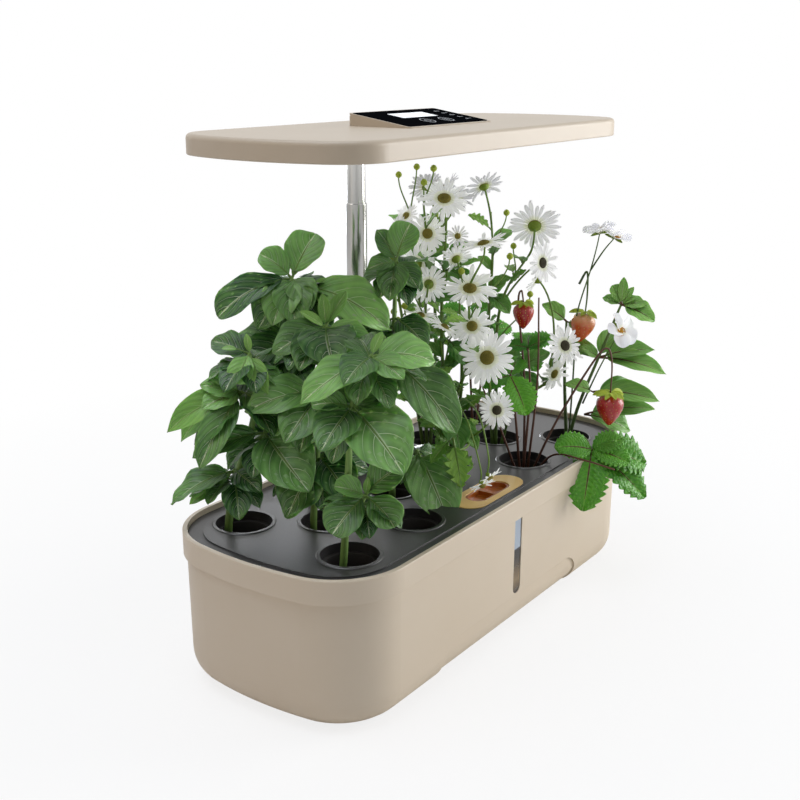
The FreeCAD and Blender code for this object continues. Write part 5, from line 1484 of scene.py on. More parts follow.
@dataclass
class StrawberryPlant(Plant):
    """Strawberry: arching red-brown stalks with toothed leaflets, flowers and fruit."""

    kind: ClassVar[str] = "strawberry"
    leaves: tuple[Trifoliate, ...] = ()
    fruits: tuple[Fruit, ...] = ()
    blossoms: tuple[Blossom, ...] = ()
    sprigs: tuple[Whorl, ...] = ()
    sticks: tuple[tuple[Triple, ...], ...] = ()
    woody: bool = False

    def build(self) -> None:
        """Builds stalks, leaves, fruits and flowers."""
        rng = self.random()
        stalks = MeshParts(self.node + "_stalks", GREEN_STALK if self.woody else BERRY_STALK, SEPAL, CALYX,
                           GREEN_STALK)
        leaves = MeshParts(self.node + "_leaves", BERRY_UPPER, BERRY_UNDER, BERRY_STALK, YOUNG_UPPER,
                           BASIL_UNDER)
        for leaf in self.leaves:
            node = self.stalk(stalks, leaf.way, 0.9)
            for leaflet in leaf.leaflets:
                add_leaf(leaves, node, seen(*leaflet.reach), leaflet, (0, 1, 2), rng.uniform())
        for whorl in self.sprigs:
            node = self.at(*whorl.place)
            for leaf in whorl.leaves:
                add_leaf(leaves, node, seen(*leaf.reach), leaf, (3, 4, 2), rng.uniform())
        for stick in self.sticks:
            self.stalk(stalks, stick, 1.3 if self.woody else 0.8)
        for index, fruit in enumerate(self.fruits):
            self.add_fruit(stalks, fruit, index)
        if self.blossoms:
            self.add_blossoms(stalks)
        self.finish(stalks, Slot.STRAWBERRY)
        self.finish(leaves, Slot.STRAWBERRY)

    def stalk(self, stalks: MeshParts, way: Sequence[Triple], radius: float) -> np.ndarray:
        """Adds a stalk along its way and gives its end."""
        points = [self.at(*p) for p in way]
        if way[0][1] <= 0:
            points[0][2] = self.foot()[2] - ROOTING
        stalks.tube(smooth_path(points, 7), (radius * 1.3, radius, radius * 0.75), 8, 0, (0.05, 0.5, 0.8))
        return points[-1]

    def add_fruit(self, stalks: MeshParts, fruit: Fruit, index: int) -> None:
        """Adds a fruit with its seeds and its star of sepals.

        Args:
            stalks: the piece that takes stalk and sepals.
            fruit: the fruit.
            index: its number on the plant.
        """
        top = self.stalk(stalks, fruit.way, 0.8)
        axis = unit(np.array((0.0, 0.0, -1.0)) + np.asarray(fruit.lean))
        skin = MeshParts(f"{self.node}_fruit_{index + 1}", RED_FRUIT if fruit.ripe else ORANGE_FRUIT,
                         SEED_COAT)
        t = np.linspace(0.0, 1.0, 30)
        outline = fruit.radius * np.sin(math.pi * t ** 0.72) ** 0.62 * (1.06 - 0.28 * t)
        height = fruit.length * (t - 0.02 * np.sin(math.pi * t))
        side, other = sideways(axis, (0.3, 0.2, 0.1))
        sides, rows = 36, 9
        grid_t, grid_a = np.meshgrid(t, circle_angles(sides), indexing="ij")
        dimple = np.zeros_like(grid_t)
        seeds = []
        for row in range(rows):
            place = 0.1 + 0.82 * row / (rows - 1)
            around = max(3, int(round(13 * math.sin(math.pi * place ** 0.72) ** 0.7)))
            for k in range(around):
                angle = 2 * math.pi * (k + 0.5 * (row % 2)) / around
                gap_a = np.angle(np.exp(1j * (grid_a - angle))) * np.interp(place, t, outline)
                gap_t = (grid_t - place) * fruit.length
                dimple += np.exp(-(gap_a ** 2 + gap_t ** 2) / DIMPLE_SPREAD)
                seeds.append((place, angle))
        reach = outline[:, None] - DIMPLE_DEPTH * dimple
        reach[0] = outline[0] + 0.3
        reach[-1] = 0.3
        ring = np.cos(grid_a)[..., None] * side + np.sin(grid_a)[..., None] * other
        points = top + axis * height[:, None, None] + ring * np.maximum(reach, 0.3)[..., None]
        skin.add(points.reshape(-1, 3), capped_faces(len(t), sides), 0,
                 np.stack((grid_t.ravel(), grid_a.ravel() / (2 * math.pi)), -1))
        for place, angle in seeds:
            outward = spoke(angle, side, other)
            out = np.interp(place, t, outline) - SEED_SINK
            middle = top + axis * np.interp(place, t, height) + outward * out
            skin.bead(middle, SEED_SIZE, 1, 0.5, np.stack((np.cross(axis, outward), axis, outward), -1))
        self.finish(skin, Slot.STRAWBERRY)
        for k, angle in enumerate(circle_angles(9)):
            outward = spoke(angle, side, other)
            tip = outward * fruit.radius * (0.95 + 0.15 * (k % 3)) + axis * (1.5 + 1.5 * (k % 2))
            sepal = Leaf((0, 0, 0), 55.0, SPRIG, 0.5, 0.0, 0.42)
            add_leaf(stalks, top - axis * 0.8, tip, sepal, (1, 1, 1), k / 9)

    def add_blossoms(self, stalks: MeshParts) -> None:
        """Adds the flowers with their stamens.

        Args:
            stalks: the piece that takes their stalks and calyces.
        """
        petals = MeshParts(self.node + "_petals", BERRY_PETAL)
        stamens = MeshParts(self.node + "_stamens", STAMEN)
        for blossom in self.blossoms:
            front = facing(blossom.azimuth, blossom.rise)
            head = self.stalk(stalks, blossom.way, 0.6)
            side, other = sideways(front, ABOVE)
            for k, angle in enumerate(circle_angles(5)):
                outward = spoke(angle, side, other)
                tip = outward * blossom.radius + front * 3.5
                blade = MeshParts("petal", BERRY_PETAL)
                add_leaf(blade, np.zeros(3), np.array((np.linalg.norm(tip), 0.0, 0.0)),
                         Leaf((0, 0, 0), 24.0, ROUND_PETAL, 0.1), (0, 0, 0), k / 5)
                along = unit(tip)
                level = unit(np.cross(front, along))
                petals.absorb(blade, np.stack((along, level, np.cross(along, level)), -1), head)
                add_leaf(stalks, head - front * 0.8, outward * blossom.radius * 0.6,
                         Leaf((0, 0, 0), 20.0, SPRIG), (2, 2, 2))
            stamens.revolve(head, front, ((2.6, 0.0), (2.8, 1.2), (1.8, 2.6), (0.2, 3.2)), 14)
            for k in range(46):
                spread = 1.4 + 3.4 * ((k * 0.618) % 1.0)
                outward = spoke(k * math.radians(GOLDEN_TURN), side, other)
                tip = head + outward * spread + front * (4.4 - 0.5 * spread)
                stamens.tube(np.array((head + outward * spread * 0.4, tip)), 0.16, 4)
                stamens.bead(tip, 0.5)
        self.finish(petals, Slot.PETAL)
        self.finish(stamens, Slot.PETAL)


@dataclass
class Tank:
    """Reservoir shell with its window, pads and pump."""

    shell: tuple[str, ...] = ("tank_shell",)
    rubber: tuple[str, ...] = ("foot_pads", "window_seal", "suction_cups")
    fittings: tuple[str, ...] = ("pump_housing", "pump_cover")

    def dress(self) -> None:
        """Puts the finishes on the frame's nodes."""
        PAINT.dress(BEIGE_ABS, *self.shell)
        PAINT.dress(NITRILE, *self.rubber)
        PAINT.dress(BLACK_ABS, *self.fittings)
        PAINT.dress(WINDOW_PC, "window_lens")
        PAINT.dress(WHITE_ACETAL, "pump_impeller")
        PAINT.dress(TURNED_STEEL, "pump_shaft")
        PAINT.dress(SILICONE, "outlet_hose")


@dataclass
class Deck:
    """Collar, planting deck, baskets, sponges and feed port."""

    grit_pod: str = "front_3"
    grains: int = 420
    grain: float = 0.9

    def dress(self) -> None:
        """Puts the finishes on the frame's nodes."""
        PAINT.dress(BEIGE_ABS, "collar")
        PAINT.dress(CHARCOAL_ABS, "deck_plate", "pole_socket")
        PAINT.dress(BASKET_PP, *[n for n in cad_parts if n.startswith("basket_")])
        PAINT.dress(YELLOW_ABS, "feed_bezel")
        PAINT.dress(AMBER_CAP, "feed_cap")
        PAINT.dress(BLACK_ABS, "power_inlet")

    def build(self) -> None:
        """Builds the sponges and the loose grit round the strawberry."""
        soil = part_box("grow_sponges")[1].z / MM
        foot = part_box("grow_sponges")[0].z / MM
        rng = np.random.default_rng(SEED)
        for name in sorted(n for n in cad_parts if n.startswith("basket_")):
            pod = name[len("basket_"):]
            self.sponge("sponge_" + pod, pod_middle(pod) + STRAIGHT_UP * foot, soil - foot, rng)
        self.spread_grit(soil, rng)

    def sponge(self, name: str, middle: np.ndarray, height: float, rng: np.random.Generator) -> None:
        """Builds one sponge: a tapered plug with a pitted skin.

        Args:
            name: the piece's name.
            middle: the middle of its foot.
            height: its height.
            rng: seeded source of its pits.
        """
        parts = MeshParts(name, ROOT_FOAM)
        rows, sides = 9, 28
        turn = circle_angles(sides)
        points = []
        for share in np.linspace(0.0, 1.0, rows):
            radius = 10.9 + 2.3 * share - 0.8 * max(0.0, share - 0.9) * 10
            pits = 1 - 0.05 * rng.random(sides)
            ring = np.stack((np.cos(turn) * radius * pits, np.sin(turn) * radius * pits,
                             np.full(sides, height * share)), -1)
            points.append(middle + ring)
        for radius in (9.0, 5.5, 2.0):
            dips = height - 0.9 * rng.random(sides) * (radius > 2.5) - 0.4
            points.append(middle + np.stack((np.cos(turn) * radius, np.sin(turn) * radius, dips), -1))
        parts.add(np.concatenate(points), capped_faces(len(points), sides))
        plug = parts.build(Body.DECK, Slot.SPONGE)
        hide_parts("grow_sponges")
        LOG.info("%s built", name)

    def spread_grit(self, soil: float, rng: np.random.Generator) -> None:
        """Builds the loose grains on one pod's sponge.

        Args:
            soil: height of the sponge's top.
            rng: seeded source of their places.
        """
        middle = pod_middle(self.grit_pod) + STRAIGHT_UP * soil
        parts = MeshParts("grit_" + self.grit_pod, GRIT)
        for _ in range(self.grains):
            angle = rng.uniform(0, 2 * math.pi)
            reach = 14.2 * math.sqrt(rng.uniform())
            heap = (1 - (reach / 15) ** 2) * 4.0 * rng.uniform()
            place = middle + (math.cos(angle) * reach, math.sin(angle) * reach, heap)
            parts.bead(place, tuple(self.grain * rng.uniform(0.5, 1.3, 3)))
        parts.build(Body.DECK, Slot.SPONGE)
        LOG.info("grit built")


@dataclass
class Pole:
    """Telescopic pole."""

    def dress(self) -> None:
        """Puts the finishes on the frame's nodes."""
        PAINT.dress(POLISHED_TUBE, "pole_lower_tube", "pole_mid_tube", "pole_upper_tube")
        PAINT.dress(BLACK_ABS, "pole_bush", "pole_mid_plug")


@dataclass
class Lamp:
    """Lamp with its control wedge and the marks printed on the glass."""

    ink: float = 0.12
    ink_foot: float = 0.02
    glass: float = 1.0
    ring_radius: float = 5.6
    ring_line: float = 0.5
    rings: tuple[Pair, ...] = ((-7.8, -6.4), (15.2, -6.2))
    dots: tuple[Pair, ...] = ((38.5, 18.6), (38.5, 11.8), (38.5, 5.0), (38.5, -1.8), (38.5, -8.7))

    def dress(self) -> None:
        """Puts the finishes on the frame's nodes."""
        PAINT.dress(SHADED_LAMP_ABS, "lamp_housing", "control_wedge")
        PAINT.dress(DIFFUSER_PC, "light_panel")
        PAINT.dress(LIGHT_BOARD, "light_board")
        PAINT.dress(PHOSPHOR, "light_chips")
        PAINT.dress(WHITE_ACETAL, "board_spacers")
        PAINT.dress(TURNED_STEEL, "lamp_screws")
        PAINT.dress(CONTROL_GLASS, "touch_glass")
        PAINT.dress(DISPLAY_FACE, "display")
        PAINT.dress(GREEN_BOARD, "control_board")

    def on_glass(self, x: float, y: float, rise: float) -> np.ndarray:
        """Gives a place on the sloped glass.

        Args:
            x: millimetres along the front.
            y: millimetres from front to back.
            rise: millimetres above the glass.

        Returns:
            The place in millimetres.
        """
        low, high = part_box("touch_glass")
        run = (high.y - low.y) / MM
        rise_back = (high.z - low.z) / MM - self.glass
        slope = math.atan2(rise_back, run)
        z = low.z / MM + self.glass * math.cos(slope) + (y - low.y / MM) / run * rise_back
        return np.array((x, y, z)) + rise * np.array((0.0, -math.sin(slope), math.cos(slope)))

    def line(self, parts: MeshParts, points: Sequence[Pair], closed: bool = False,
             width: float = 0.5) -> None:
        """Adds a printed line on the glass.

        Args:
            parts: the piece that it joins.
            points: places on the glass.
            closed: whether the line returns to its start.
            width: its width.
        """
        places = np.asarray(points, float)
        ahead = np.roll(places, -1, 0) - np.roll(places, 1, 0) if closed else np.gradient(places, axis=0)
        size = np.linalg.norm(ahead, axis=1, keepdims=True)
        across = np.stack((-ahead[:, 1], ahead[:, 0]), -1) / np.maximum(size, 1e-9) * width / 2
        rows = []
        for place, off in zip(places, across):
            for flat, rise in ((-1, self.ink_foot), (1, self.ink_foot), (1, self.ink), (-1, self.ink)):
                rows.append(self.on_glass(place[0] + flat * off[0], place[1] + flat * off[1], rise))
        count = len(places)
        faces = [[i * 4 + k, i * 4 + (k + 1) % 4, (i + 1) % count * 4 + (k + 1) % 4, (i + 1) % count * 4 + k]
                 for i in range(count if closed else count - 1) for k in range(4)]
        if not closed:
            faces.append([0, 1, 2, 3])
            faces.append([count * 4 - 1, count * 4 - 2, count * 4 - 3, count * 4 - 4])
        parts.add(np.array(rows), faces)

    def circle(self, x: float, y: float, radius: float, count: int = 40, start: float = 0.0,
               sweep: float = 360.0) -> list[Pair]:
        """Gives places on a circle on the glass."""
        places = range(count if sweep >= 360 else count + 1)
        angles = [math.radians(start + sweep * k / count) for k in places]
        return [(x + radius * math.cos(a), y + radius * math.sin(a)) for a in angles]

    def build(self) -> None:
        """Builds the printed marks: two ringed keys and a column of state marks."""
        marks = MeshParts("control_marks", PRINTED_INK)
        (power_x, power_y), (mode_x, mode_y) = self.rings
        for x, y in self.rings:
            self.line(marks, self.circle(x, y, self.ring_radius), True, self.ring_line)
        self.line(marks, self.circle(power_x, power_y, 2.3, 24, 120, 300), False, 0.45)
        self.line(marks, [(power_x, power_y + 0.6), (power_x, power_y + 2.9)], False, 0.45)
        self.line(marks, self.circle(mode_x, mode_y, 1.2, 20), True, 0.4)
        for k in range(8):
            a = math.radians(45 * k)
            ray = [(mode_x + reach * math.cos(a), mode_y + reach * math.sin(a)) for reach in (2.0, 3.1)]
            self.line(marks, ray, False, 0.4)
        for x, y in self.dots:
            self.line(marks, self.circle(x, y, 0.9, 12), True, 0.5)
            self.line(marks, [(x + 2.2, y), (x + 5.2, y)], False, 0.5)
        marks.build(Body.LAMP, Slot.DISPLAY)
        LOG.info("control marks built")


def basils() -> list[BasilPlant]:
    """Gives the basil plants, with their leaves where the photograph shows them."""
    rear_2 = BasilPlant(
        "rear_2", ((-2, 40, 0), (-5, 100, 0), (-10, 157, 0)), (
            Whorl((-10, 157, 0), (
                Leaf((14, 29, -8), 25, BLUNT, 0.6), Leaf((-20, 15, 2), 30, BLUNT, 0.55),
                Leaf((-45, -25, 8), 60, replace(NARROW, tip_power=0.5), 0.08, 0, 0.5),
                Leaf((-20, -33, 12), 45, OVATE, 0.15),
                Leaf((-10, -31, 18), 35, OVATE, 0.62), Leaf((4, -31, 20), 35, OVATE, 0.4),
                Leaf((13, -21, 16), 35, OVATE, 0.45), Leaf((6, 12, -3), 20, SPRIG, 0.7),
            ), 38),
            Whorl((2, 150, -2), (
                Leaf((50, -27, 10), 75, OVATE, 0.78, width=0.59), Leaf((13, 6, -6), 30, SPRIG, 0.8),
            ), 34),
            Whorl((-8, 112, 0), (
                Leaf((-34, -18, 12), 50, OVATE, 0.1), Leaf((-44, -6, -10), 50, OVATE, 0.15),
                Leaf((22, -16, 26), 45, OVATE, 0.25),
            ), 42),
            Whorl((-4, 68, 0), (
                Leaf((-30, -20, 22), 50, OVATE, 0.1), Leaf((24, -18, 24), 50, OVATE, 0.1),
            ), 40),
        ))
    middle_1 = BasilPlant(
        "middle_1", ((-10, 10, 2), (-6, 60, 2), (0, 135, 0)), (
            Whorl((0, 135, 0), (
                Leaf((-30, -16, 10), 45, OVATE, 0.25), Leaf((7, -26, 32), 40, OVATE, 0.15, width=0.94),
                Leaf((28, -13, 12), 45, OVATE, 0.75, width=0.65), Leaf((-2, 20, 0), 15, SPRIG, 0.5),
                Leaf((12, 22, -8), 25, SPRIG, 0.6), Leaf((-15, 9, 6), 25, SPRIG, 0.8),
                Leaf((-14, -26, 22), 40, OVATE, 0.2),
            ), 40),
            Whorl((-3, 92, 2), (
                Leaf((-44, -12, 16), 55, OVATE, 0.5, width=0.59), Leaf((-20, -30, 24), 50, OVATE, 0.3),
                Leaf((22, -30, 20), 50, OVATE, 0.15), Leaf((34, -4, 4), 50, OVATE, 0.2),
            ), 40),
            Whorl((-6, 46, 2), (
                Leaf((-18, -35, 18), 45, replace(OVATE, ripple=0.07), 0.18),
                Leaf((-28, -4, 10), 45, OVATE, 0.1),
                Leaf((20, -24, 26), 50, OVATE, 0.1), Leaf((30, -8, -10), 45, OVATE, 0.1),
            ), 34),
        ), foot_right=-11.0)
    front_1 = BasilPlant(
        "front_1", ((-3, 10, 1), (0, 60, 1), (2.4, 98, 0), (14.5, 130, 0)), (
            Whorl((14.5, 130, 0), (
                Leaf((35, -3, -4), 65, OVATE, 0.72, width=0.78), Leaf((18, -13, 14), 40, OVATE, 0.6),
                Leaf((-38, -26, 10), 55, OVATE, 0.7, width=0.53), Leaf((6, 14, -6), 25, SPRIG, 0.7),
                Leaf((-14, -16, 22), 40, OVATE, 0.2),
            ), 36),
            Whorl((2.4, 98, 0), (
                Leaf((-22, 1, 6), 45, CUPPED, 0.55, width=0.71), Leaf((18, 18, 0), 35, OVATE, 0.3),
                Leaf((27, 10, 4), 35, OVATE, 0.25, width=0.59),
                Leaf((29, -36, 20), 45, OVATE, 0.45, width=0.87),
                Leaf((0, 19, -4), 25, SPRIG, 0.55), Leaf((26, -8, -15), 45, OVATE, 0.1),
                Leaf((-16, -24, 24), 45, OVATE, 0.2),
            ), 34),
            Whorl((10, 41, 2), (
                Leaf((-17, 6, 8), 50, CUPPED, 0.6), Leaf((21, 17, 3), 35, BLUNT, 0.3),
                Leaf((-18, -21, 10), 40, BLUNT, 0.22), Leaf((17, -17, 10), 35, BLUNT, 0.3),
                Leaf((2, 11, 4), 20, SPRIG, 0.6),
            ), 28),
        ), foot_right=-5.0)
    rear_1 = BasilPlant(
        "rear_1", ((-9, 10, 0), (-3, 35, 0), (10, 80, 0), (8, 118, 0)), (
            Whorl((16, 64, 0), (
                Leaf((-42, -15, 8), 50, NARROW, 0.3, width=0.47),
                Leaf((29, -34, 22), 40, OVATE, 0.35, width=0.85),
                Leaf((12, 22, -4), 30, OVATE, 0.3, width=0.53), Leaf((-3, 17, 4), 25, SPRIG, 0.75),
                Leaf((31, 8, -6), 40, OVATE, 0.12), Leaf((1, -26, 6), 30, POINTED, 0.5),
                Leaf((22, -38, -6), 45, replace(OVATE, ripple=0.06), 0.2),
            ), 34),
            Whorl((-5, 38, 2), (
                Leaf((-36, -20, 10), 55, OVATE, 0.25, 30, 0.55), Leaf((-28, -21, -4), 35, POINTED, 0.45),
                Leaf((18, -12, 14), 45, OVATE, 0.1),
            ), 32),
            Whorl((2, 92, 0), (
                Leaf((-44, -24, 4), 50, POINTED, 0.6, -20, 0.42),
                Leaf((-23, -45, 14), 60, NARROW, 0.28, -12, 0.42),
                Leaf((-38, -30, -8), 50, POINTED, 0.4), Leaf((-24, 4, 6), 40, OVATE, 0.62),
                Leaf((-22, -10, 12), 40, OVATE, 0.7), Leaf((22, -14, 14), 45, OVATE, 0.3),
            ), 38),
            Whorl((8, 118, 0), (
                Leaf((-16, 3, 4), 75, replace(SPRIG, petiole=0.5), 0.85),
                Leaf((-6, -18, 8), 60, BLUNT, 0.9, width=0.83),
                Leaf((-2, 12, 0), 40, SPRIG, 0.85), Leaf((-24, 8, -10), 45, OVATE, 0.12),
                Leaf((12, -24, 8), 40, POINTED, 0.75), Leaf((-14, 10, -14), 40, OVATE, 0.1),
            ), 32),
        ), stem_radius=2.6, foot_right=-12.0)
    middle_2 = BasilPlant(
        "middle_2", ((0, 40, 0), (1, 100, 0), (3, 168, 0)), (
            Whorl((3, 168, 0), (
                Leaf((9, 24, 0), 30, BLUNT, 0.55), Leaf((-12, 20, -2), 35, OVATE, 0.3),
                Leaf((14, -18, 8), 40, OVATE, 0.25), Leaf((-18, -6, 8), 40, OVATE, 0.3),
                Leaf((-4, -26, 14), 45, OVATE, 0.3),
            ), 30),
            Whorl((2, 128, 0), (
                Leaf((20, -20, 12), 45, OVATE, 0.15), Leaf((-24, -14, -6), 45, OVATE, 0.15),
            ), 36),
            Whorl((1, 96, 0), (
                Leaf((40, -46, 12), 70, OVATE, 0.3, width=0.59), Leaf((30, -20, -12), 50, OVATE, 0.1),
                Leaf((-20, -24, 20), 45, OVATE, 0.15),
            ), 40),
            Whorl((18, 32, 6), (
                Leaf((20, -46, 16), 40, OVATE, 0.55, width=0.78),
                Leaf((-4, -28, 12), 40, NARROW, 0.6, width=0.59),
                Leaf((14, -6, -10), 40, OVATE, 0.2),
            ), 34),
        ))
    return [rear_2, middle_1, front_1, rear_1, middle_2]


def daisies() -> list[DaisyPlant]:
    """Gives the daisy plants, with their flowers where the photograph shows them."""
    left = DaisyPlant("middle_3", (
        ((0, -10, 0), (-4, 60, 1), (-6, 120, 0), (-4, 160, -3), (-3, 190, -2)),
        ((2, -10, 2), (4, 45, 6), (14, 85, 12), (14, 120, 12), (13, 134, 12)),
        ((-2, -10, -2), (-12, 60, 0), (-18, 110, -1), (-17, 160, -4), (-20, 200, -3)),
        ((3, -10, 1), (-10, 9, 8), (8, 19, 16), (24, 33, 22)),
        ((1, -10, -3), (10, 60, -4), (8, 110, -4), (8, 150, -2)),
    ), (
        Flower((19.6, 19, 101.4), 245, -52, 9.0, 0.1, petals=15,
               way=((1, 40, 4), (2, 62, 40), (10, 58, 80), (18, 32, 100))),
        Flower((25, 23, 97.2), 262, -44, 9.0, 0.08, petals=15,
               way=((2, 36, 5), (8, 64, 44), (18, 62, 78), (24, 38, 94))),
        Flower((-5, 204, 0), 215, 52, 18.5), Flower((-17, 178, -2), 214, 20, 14.5),
        Flower((-16, 142, 8), 30, -8, 13.5), Flower((14, 140, 14), 214, 56, 19.0),
        Flower((16, 112, 16), 214, 36, 15.5, 0.1), Flower((27, 90, 24), 215, 15, 20.0),
        Flower((35, 50, 26), 222, 12, 13.5, 0.08, True), Flower((24, 172, 6), 150, 74, 17.0),
        Flower((-25, 156, 2), 60, 10, 16.0, 0.1), Flower((-4, 110, 10), 300, 60, 12.5),
        Flower((-38, 184, 0), 160, 20, 8.0, 0.3, petals=17),
        Flower((5, 177, 4), 214, 30, 8.5, 0.3, petals=17),
        Flower((-22, 118, 6), 240, 70, 12.0), Flower((4, 160, 2), 60, 30, 13.0, 0.12),
        Flower((-12, 192, -10), 100, 40, 12.0, 0.2),
    ), ((-13, 224, 0), (-20, 214, 0), (-28, 140, 4), (-24, 108, 8), (-20, 104, 10), (-26, 102, 6),
        (-42, 119, 6), (-39, 113, 8), (-34, 123, 4), (44, 160, 2), (8, 150, 8)), (
        Whorl((-24, 92, 8), (
            Leaf((-16, 14, 4), 45, FEATHER, 0.5), Leaf((14, 16, 2), 40, FEATHER, 0.55),
            Leaf((-18, -8, 6), 45, FEATHER, 0.4),
        )),
        Whorl((-14, 66, 16), (
            Leaf((-20, 12, 4), 45, FEATHER, 0.5), Leaf((16, 14, 4), 40, FEATHER, 0.6),
            Leaf((18, -12, 8), 45, FEATHER, 0.45),
        )),
        Whorl((0, 45, 76), (
            Leaf((6, -35, 3), 25, FEATHER, 0.65, width=0.75),
            Leaf((-16, -18, 4), 45, FEATHER, 0.35, width=0.6),
        )),
        Whorl((-4, 16, 12), (
            Leaf((8, -14, 16), 50, FEATHER, 0.6, width=0.7), Leaf((-6, 20, 6), 40, FEATHER, 0.35),
            Leaf((22, -14, 12), 50, FEATHER, 0.5), Leaf((-20, -6, 4), 45, FEATHER, 0.25),
        )),
        Whorl((2, 40, 6), (
            Leaf((24, 14, 4), 45, FEATHER, 0.45), Leaf((-16, 18, 2), 40, FEATHER, 0.4),
            Leaf((20, -26, 10), 45, OVATE, 0.35, width=0.5), Leaf((6, -26, 20), 40, OVATE, 0.2),
        )),
        Whorl((-2, 150, -8), (
            Leaf((24, 6, 6), 60, OVATE, 0.5, width=0.45), Leaf((20, -12, 8), 45, OVATE, 0.2, width=0.6),
            Leaf((-20, -16, -4), 45, OVATE, 0.1),
        )),
        Whorl((0, 96, -6), (
            Leaf((-18, 10, 4), 40, FEATHER, 0.4), Leaf((16, 16, -2), 40, FEATHER, 0.35),
            Leaf((14, -20, 8), 40, OVATE, 0.15),
        )),
    ))
    right = DaisyPlant("middle_4", (
        ((0, -10, 0), (-1, 50, 0), (-1, 97, 0), (6, 126, 0), (24, 155, 1)),
        ((2, -10, 1), (14, 30, 4), (38, 50, 10), (42, 70, 12)),
        ((-2, -10, 0), (-8, 80, -4), (-6, 150, -4), (-8, 186, -6)),
    ), (
        Flower((26, 176, 2), 30, 24, 20.0, 0.35), Flower((33, 147, 4), 262, 8, 16.0, 0.28, True),
        Flower((52, 82, 14), 244, 22, 16.0, 0.12, True), Flower((44, 60, 20), 150, 30, 14.0),
        Flower((30, 132, -4), 100, 30, 12.0, 0.1), Flower((-14, 206, -6), 60, 46, 15.0, 0.5),
    ), ((10, 158, 0), (24, 120, 4), (4, 184, -2)), (
        Whorl((16, 60, 6), (
            Leaf((26, 14, 2), 40, NARROW, 0.3), Leaf((-14, 20, 0), 40, OVATE, 0.2),
            Leaf((10, -24, 14), 45, OVATE, 0.15),
        )),
        Whorl((-8, 120, -4), (
            Leaf((-20, 8, 2), 50, OVATE, 0.3), Leaf((14, 14, 4), 40, OVATE, 0.45),
            Leaf((16, -16, 6), 40, OVATE, 0.3),
        )),
    ))
    back = DaisyPlant("rear_3", (
        ((0, -10, 0), (-4, 70, 0), (-8, 130, -4), (-14, 180, -4)),
        ((2, -10, 0), (6, 80, -4), (4, 150, -8), (10, 190, -2)),
        ((-2, -10, -2), (-14, 60, 4), (-24, 120, 2), (-26, 140, 0)),
    ), (
        Flower((-18, 184, 0), 170, 34, 11.0, 0.2), Flower((12, 206, 4), 120, 40, 14.0, 0.55),
        Flower((20, 198, 2), 40, 40, 15.0, 0.6), Flower((0, 162, -14), 60, 20, 15.0, 0.25),
        Flower((-2, 205, -8), 40, 30, 14.0, 0.5), Flower((-30, 150, 0), 90, 30, 12.0, 0.1),
    ), ((-24, 214, 0), (-10, 220, 0)), (
        Whorl((-2, 150, 0), (
            Leaf((-24, 10, 0), 45, OVATE, 0.2), Leaf((18, 12, -4), 40, OVATE, 0.25),
            Leaf((-20, -20, 6), 45, OVATE, 0.15),
        )),
        Whorl((0, 90, 0), (
            Leaf((-26, 6, -4), 50, OVATE, 0.15), Leaf((24, 8, -8), 50, OVATE, 0.2),
            Leaf((6, 10, -30), 45, OVATE, 0.3),
        )),
        Whorl((0, 40, 0), (
            Leaf((-26, 10, -6), 50, FEATHER, 0.3), Leaf((24, 8, -10), 50, FEATHER, 0.3),
            Leaf((2, 14, -28), 45, FEATHER, 0.35),
        )),
    ))
    return [left, right, back]


